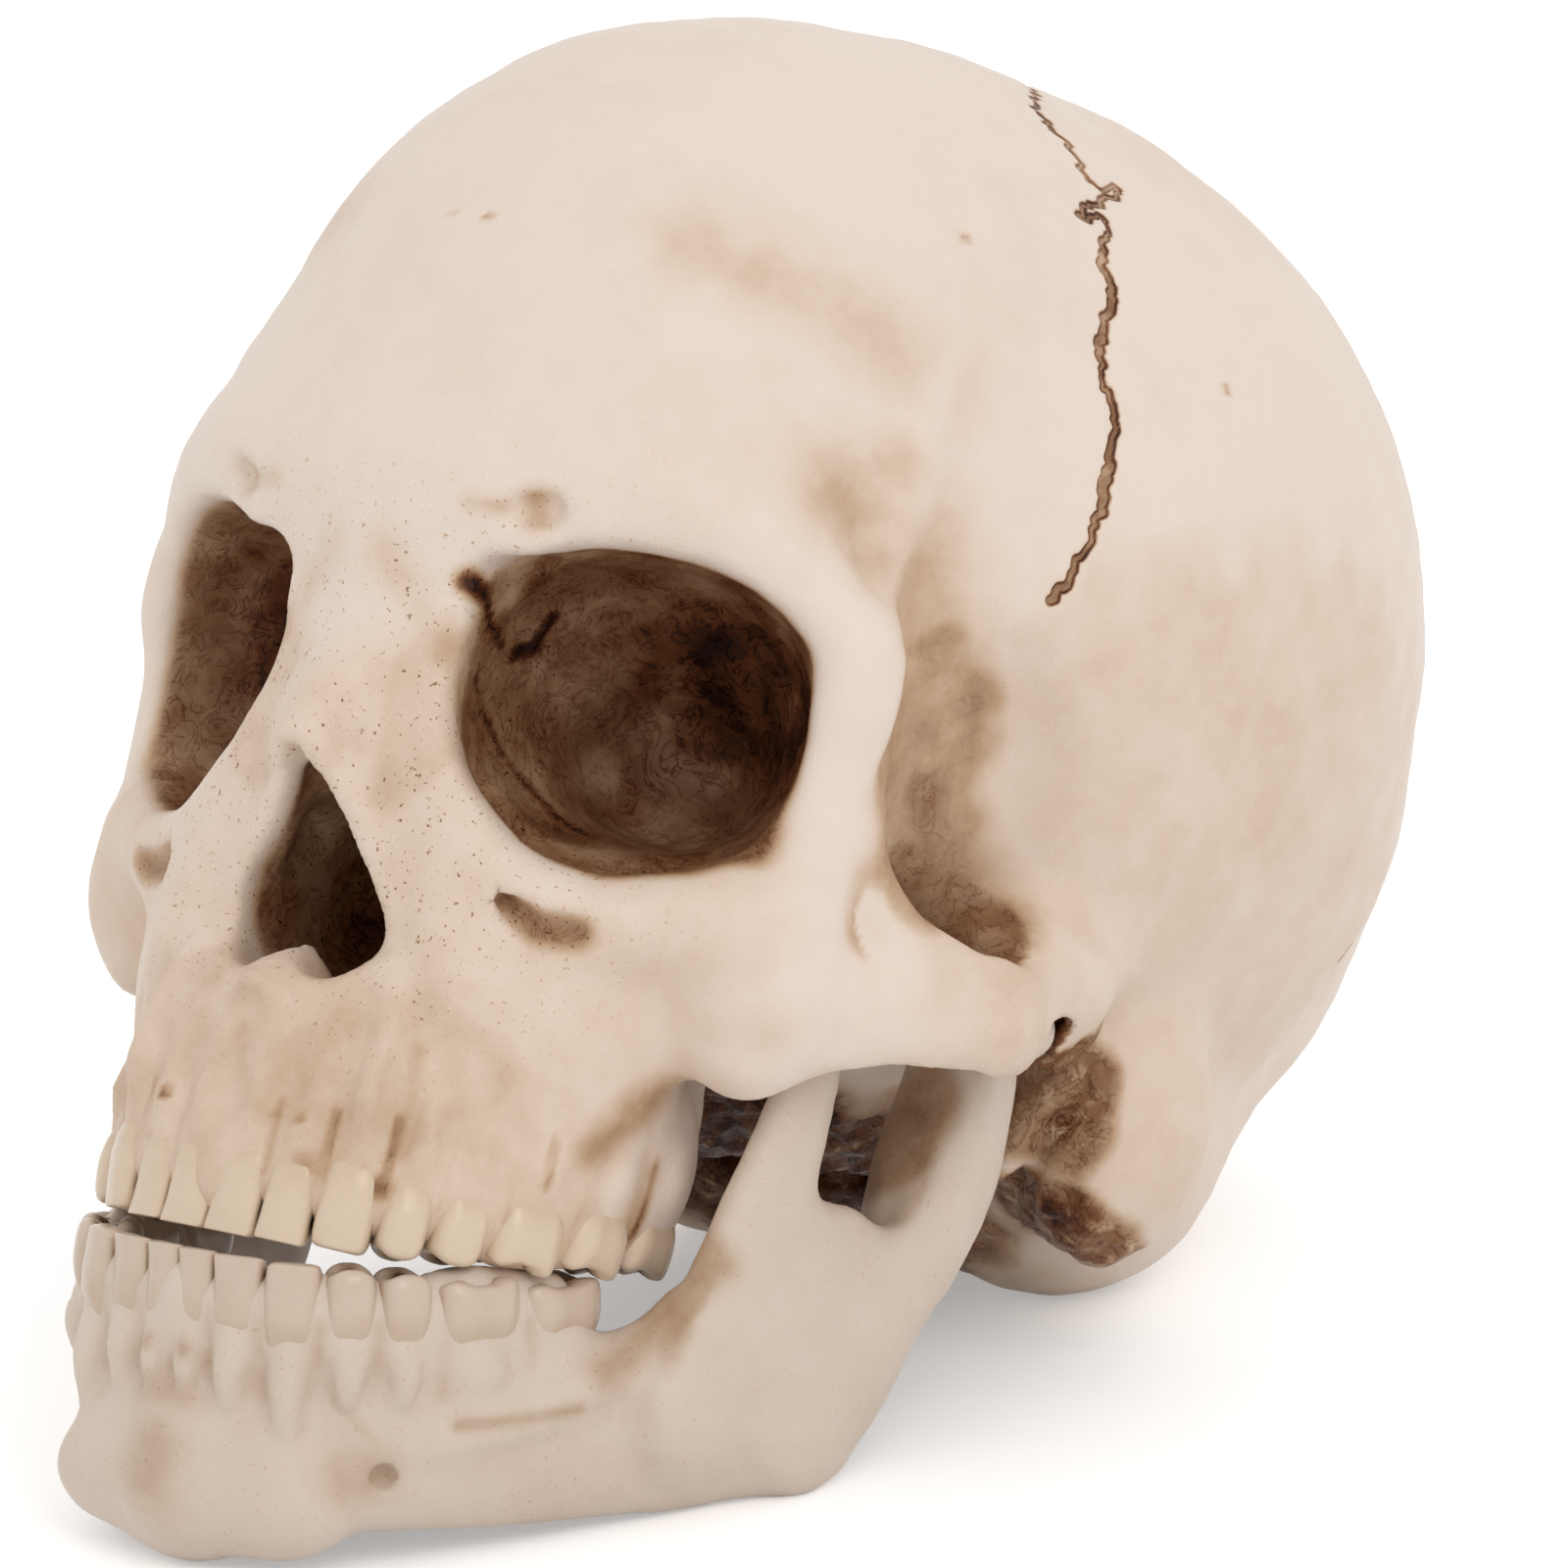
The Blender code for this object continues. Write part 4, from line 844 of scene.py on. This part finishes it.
class Nodes:
    """Short calls for a material's nodes."""

    def __init__(self, name):
        self.material = bpy.data.materials.new(name)
        self.material.use_nodes = True
        self.tree = self.material.node_tree
        self.shader = self.tree.nodes["Principled BSDF"]
        self.place = self.add("ShaderNodeTexCoord").outputs["Object"]

    def add(self, kind, **values):
        node = self.tree.nodes.new(kind)
        for name, value in values.items():
            setattr(node, name, value)
        return node

    def put(self, socket, value):
        if isinstance(value, bpy.types.NodeSocket):
            self.tree.links.new(value, socket)
        else:
            socket.default_value = value

    def maths(self, what, a, b=0.0, clamp=False):
        node = self.add("ShaderNodeMath", operation=what, use_clamp=clamp)
        self.put(node.inputs[0], a)
        self.put(node.inputs[1], b)
        return node.outputs[0]

    def noise(self, scale, detail=3.0, roughness=0.5, distortion=0.0):
        node = self.add("ShaderNodeTexNoise")
        self.put(node.inputs["Vector"], self.place)
        for name, value in (("Scale", scale), ("Detail", detail), ("Roughness", roughness),
            ("Distortion", distortion)):
            node.inputs[name].default_value = value
        return node.outputs["Fac"]

    def number(self, name):
        return self.add("ShaderNodeAttribute", attribute_name=name).outputs["Fac"]

    def band(self, value, low, high, to_low=0.0, to_high=1.0):
        node = self.add("ShaderNodeMapRange")
        for socket, given in zip(node.inputs, (value, low, high, to_low, to_high)):
            self.put(socket, given)
        return node.outputs["Result"]

    def ramp(self, value, stops):
        node = self.add("ShaderNodeValToRGB")
        self.put(node.inputs[0], value)
        band = node.color_ramp.elements
        while len(band) < len(stops):
            band.new(0.5)
        for element, (at, colour) in zip(band, stops):
            element.position = at
            element.color = (*colour, 1)
        return node.outputs["Color"]

    def mix(self, share, a, b, blend="MIX"):
        node = self.add("ShaderNodeMix", data_type="RGBA", blend_type=blend)
        self.put(node.inputs["Factor"], share)
        self.put(node.inputs[6], a)
        self.put(node.inputs[7], b)
        return node.outputs[2]

    def bump(self, height, strength, distance):
        node = self.add("ShaderNodeBump")
        node.inputs["Strength"].default_value = strength
        node.inputs["Distance"].default_value = distance
        self.put(node.inputs["Height"], height)
        self.put(self.shader.inputs["Normal"], node.outputs["Normal"])


def bone_look(name, stops, shift):
    n = Nodes(name)
    wide, mid, small = n.noise(28 + shift, 4), n.noise(150, 5, 0.62), n.noise(1500, 3, 0.6)
    brown, rough_and_painted_highlights = n.number("brown"), n.number("rough_and_painted_highlights")
    crack = n.maths("ABSOLUTE", n.maths("SUBTRACT", n.noise(230, 5, 0.6, 1.6), 0.5))
    crack = n.maths("MULTIPLY", n.band(crack, 0.0, 0.03, 1.0, 0.0), n.band(brown, 0.3, 0.6))
    tone = n.maths("MULTIPLY", brown, n.band(mid, 0.34, 0.66, 0.82, 1.12))
    # Lighter noise patches in the rough brown parts: painted highlights
    tone = n.maths("SUBTRACT", tone,
        n.maths("MULTIPLY", rough_and_painted_highlights, n.band(n.noise(420, 4, 0.6), 0.52, 0.7, 0.0, 0.3)))
    tone = n.maths("MAXIMUM", tone, n.maths("MULTIPLY", n.number("seam"), n.band(mid, 0.4, 0.6, 0.6, 1.0)))
    tone = n.maths("MAXIMUM", tone, n.maths("MULTIPLY", n.number("grime"), 0.42))
    tone = n.maths("ADD", tone, n.band(wide, 0.35, 0.75, -0.02, 0.06))
    tone = n.maths("ADD", tone, n.maths("MULTIPLY", n.maths("SUBTRACT", mid, 0.5), 0.10))
    tone = n.maths("ADD", tone, n.maths("MULTIPLY", crack, 0.2))
    speck = n.maths("MULTIPLY", n.band(small, 0.64, 0.685),
        n.maths("ADD", n.number("dots"), n.band(wide, 0.5, 0.7, 0.0, 0.2)))
    tone = n.maths("ADD", tone, n.maths("MULTIPLY", speck, 0.4), clamp=True)
    n.put(n.shader.inputs["Base Color"], n.ramp(tone, stops))
    n.put(n.shader.inputs["Roughness"], n.band(tone, 0.1, 0.75, 0.46, 0.27))
    n.put(n.shader.inputs["Specular IOR Level"], n.band(tone, 0.3, 0.6, 0.35, 0.16))
    relief = n.maths("ADD", n.maths("MULTIPLY", small, 0.3),
        n.maths("MULTIPLY", mid, n.band(brown, 0.2, 0.8, 0.6, 2.2)))
    n.bump(n.maths("SUBTRACT", relief, n.maths("MULTIPLY", crack, 0.6)), 0.4, 0.0006)
    return n.material


BONE = bone_look("stained_ivory_resin_painted_highlights", (
    (0.0, (0.82, 0.695, 0.60)), (0.12, (0.74, 0.585, 0.46)), (0.30, (0.53, 0.345, 0.21)),
    (0.48, (0.28, 0.14, 0.068)),
    (0.62, (0.165, 0.058, 0.022)), (0.78, (0.06, 0.02, 0.01)), (0.95, (0.015, 0.006, 0.005)),
), 0)
JAW_BONE = bone_look("stained_and_painted_shade_jaw_resin", (
    (0.0, (0.70, 0.585, 0.49)), (0.14, (0.60, 0.465, 0.355)), (0.32, (0.44, 0.29, 0.18)),
    (0.55, (0.2, 0.1, 0.05)), (0.85, (0.035, 0.014, 0.008)),
), 7)


def tooth_look(name, pale, brown):
    n = Nodes(name)
    cloud = n.noise(240, 3, 0.5)
    fine = n.noise(2200, 2, 0.5)
    tone = n.maths("ADD", n.number("brown"), n.maths("MULTIPLY", n.maths("SUBTRACT", cloud, 0.5), 0.3),
        clamp=True)
    n.put(n.shader.inputs["Base Color"],
        n.ramp(tone, ((0.0, pale), (0.3, [p * shade for p, shade in zip(pale, (0.86, 0.8, 0.72))]),
        (0.85, brown))))
    n.put(n.shader.inputs["Roughness"], n.band(tone, 0.0, 1.0, 0.22, 0.4))
    n.shader.inputs["Subsurface Weight"].default_value = 0.1
    n.shader.inputs["Subsurface Scale"].default_value = 0.001
    n.bump(n.maths("ADD", cloud, n.maths("MULTIPLY", fine, 0.2)), 0.15, 0.0004)
    return n.material


# The dark end of each tooth ramp colours the stains and the painted shade between the crowns
UPPER_LOOK = tooth_look("upper_tooth_resin_look", (0.72, 0.575, 0.43), (0.03, 0.012, 0.008))
LOWER_LOOK = tooth_look("lower_tooth_resin_look", (0.64, 0.51, 0.40), (0.12, 0.06, 0.03))

cranium()
jaw()
teeth(UPPER, CRANIUM_PLACE, "cranium", UPPER_LOOK)
teeth(LOWER, JAW_PLACE, "jaw", LOWER_LOOK)


# Floor, light and camera

floor_look = Nodes("pale_floor")
floor_look.shader.inputs["Base Color"].default_value = (0.92, 0.92, 0.92, 1)
floor_look.shader.inputs["Roughness"].default_value = 0.9
floor_look.shader.inputs["Emission Color"].default_value = (1, 1, 1, 1)
rays = floor_look.add("ShaderNodeLightPath")
direct = floor_look.maths("ADD", rays.outputs["Is Camera Ray"], rays.outputs["Is Transmission Ray"])
direct = floor_look.maths("ADD", direct, rays.outputs["Is Glossy Ray"], clamp=True)
floor_look.put(floor_look.shader.inputs["Emission Strength"], floor_look.maths("MULTIPLY", direct, 0.32))
floor_mesh = bpy.data.meshes.new("floor")
floor_mesh.from_pydata([(-6, -6, 0), (6, -6, 0), (6, 6, 0), (-6, 6, 0)], [], [(0, 1, 2, 3)])
floor_mesh.materials.append(floor_look.material)
floor = bpy.data.objects.new("floor", floor_mesh)
bpy.context.scene.collection.objects.link(floor)

world = bpy.data.worlds.new("studio")
bpy.context.scene.world = world
world.use_nodes = True
tree = world.node_tree
back = tree.nodes["Background"]
path = tree.nodes.new("ShaderNodeLightPath")
seen = tree.nodes.new("ShaderNodeMath")
seen.operation = "ADD"
seen.use_clamp = True
tree.links.new(path.outputs["Is Camera Ray"], seen.inputs[0])
tree.links.new(path.outputs["Is Transmission Ray"], seen.inputs[1])
shine = tree.nodes.new("ShaderNodeMath")
shine.operation = "ADD"
shine.use_clamp = True
tree.links.new(seen.outputs[0], shine.inputs[0])
tree.links.new(path.outputs["Is Glossy Ray"], shine.inputs[1])
level = tree.nodes.new("ShaderNodeMapRange")
tree.links.new(shine.outputs[0], level.inputs["Value"])
level.inputs["To Min"].default_value = 0.84
level.inputs["To Max"].default_value = 1.0
back.inputs["Color"].default_value = (1, 1, 1, 1)
tree.links.new(level.outputs["Result"], back.inputs["Strength"])

lamp_data = bpy.data.lights.new("soft_box", "AREA")
lamp_data.size = 0.9
lamp_data.energy = 5.7
lamp = bpy.data.objects.new("soft_box", lamp_data)
lamp.location = (1.25, -0.75, 1.35)
lamp.rotation_euler = (Vector((0, -0.03, 0.08)) - lamp.location).to_track_quat("-Z", "Y").to_euler()
bpy.context.scene.collection.objects.link(lamp)

CAMERA_AT = Vector((539.76, -721.95, 187.68))
CAMERA_AXES = Matrix((
    (0.80458512, -0.11350896, 0.58288807), (0.59133107, 0.06305774, -0.80395976),
    (0.05450103, 0.99153388, 0.1178567),
))
camera_data = bpy.data.cameras.new("camera")
camera_data.lens = 172.9
camera_data.sensor_width = 36
camera = bpy.data.objects.new("camera", camera_data)
camera.location = JAW_PLACE @ CAMERA_AT
camera.rotation_euler = (JAW_PLACE.to_quaternion().to_matrix() @ CAMERA_AXES).to_euler()
bpy.context.scene.collection.objects.link(camera)
bpy.context.scene.camera = camera
bpy.context.scene.view_settings.view_transform = "Standard"
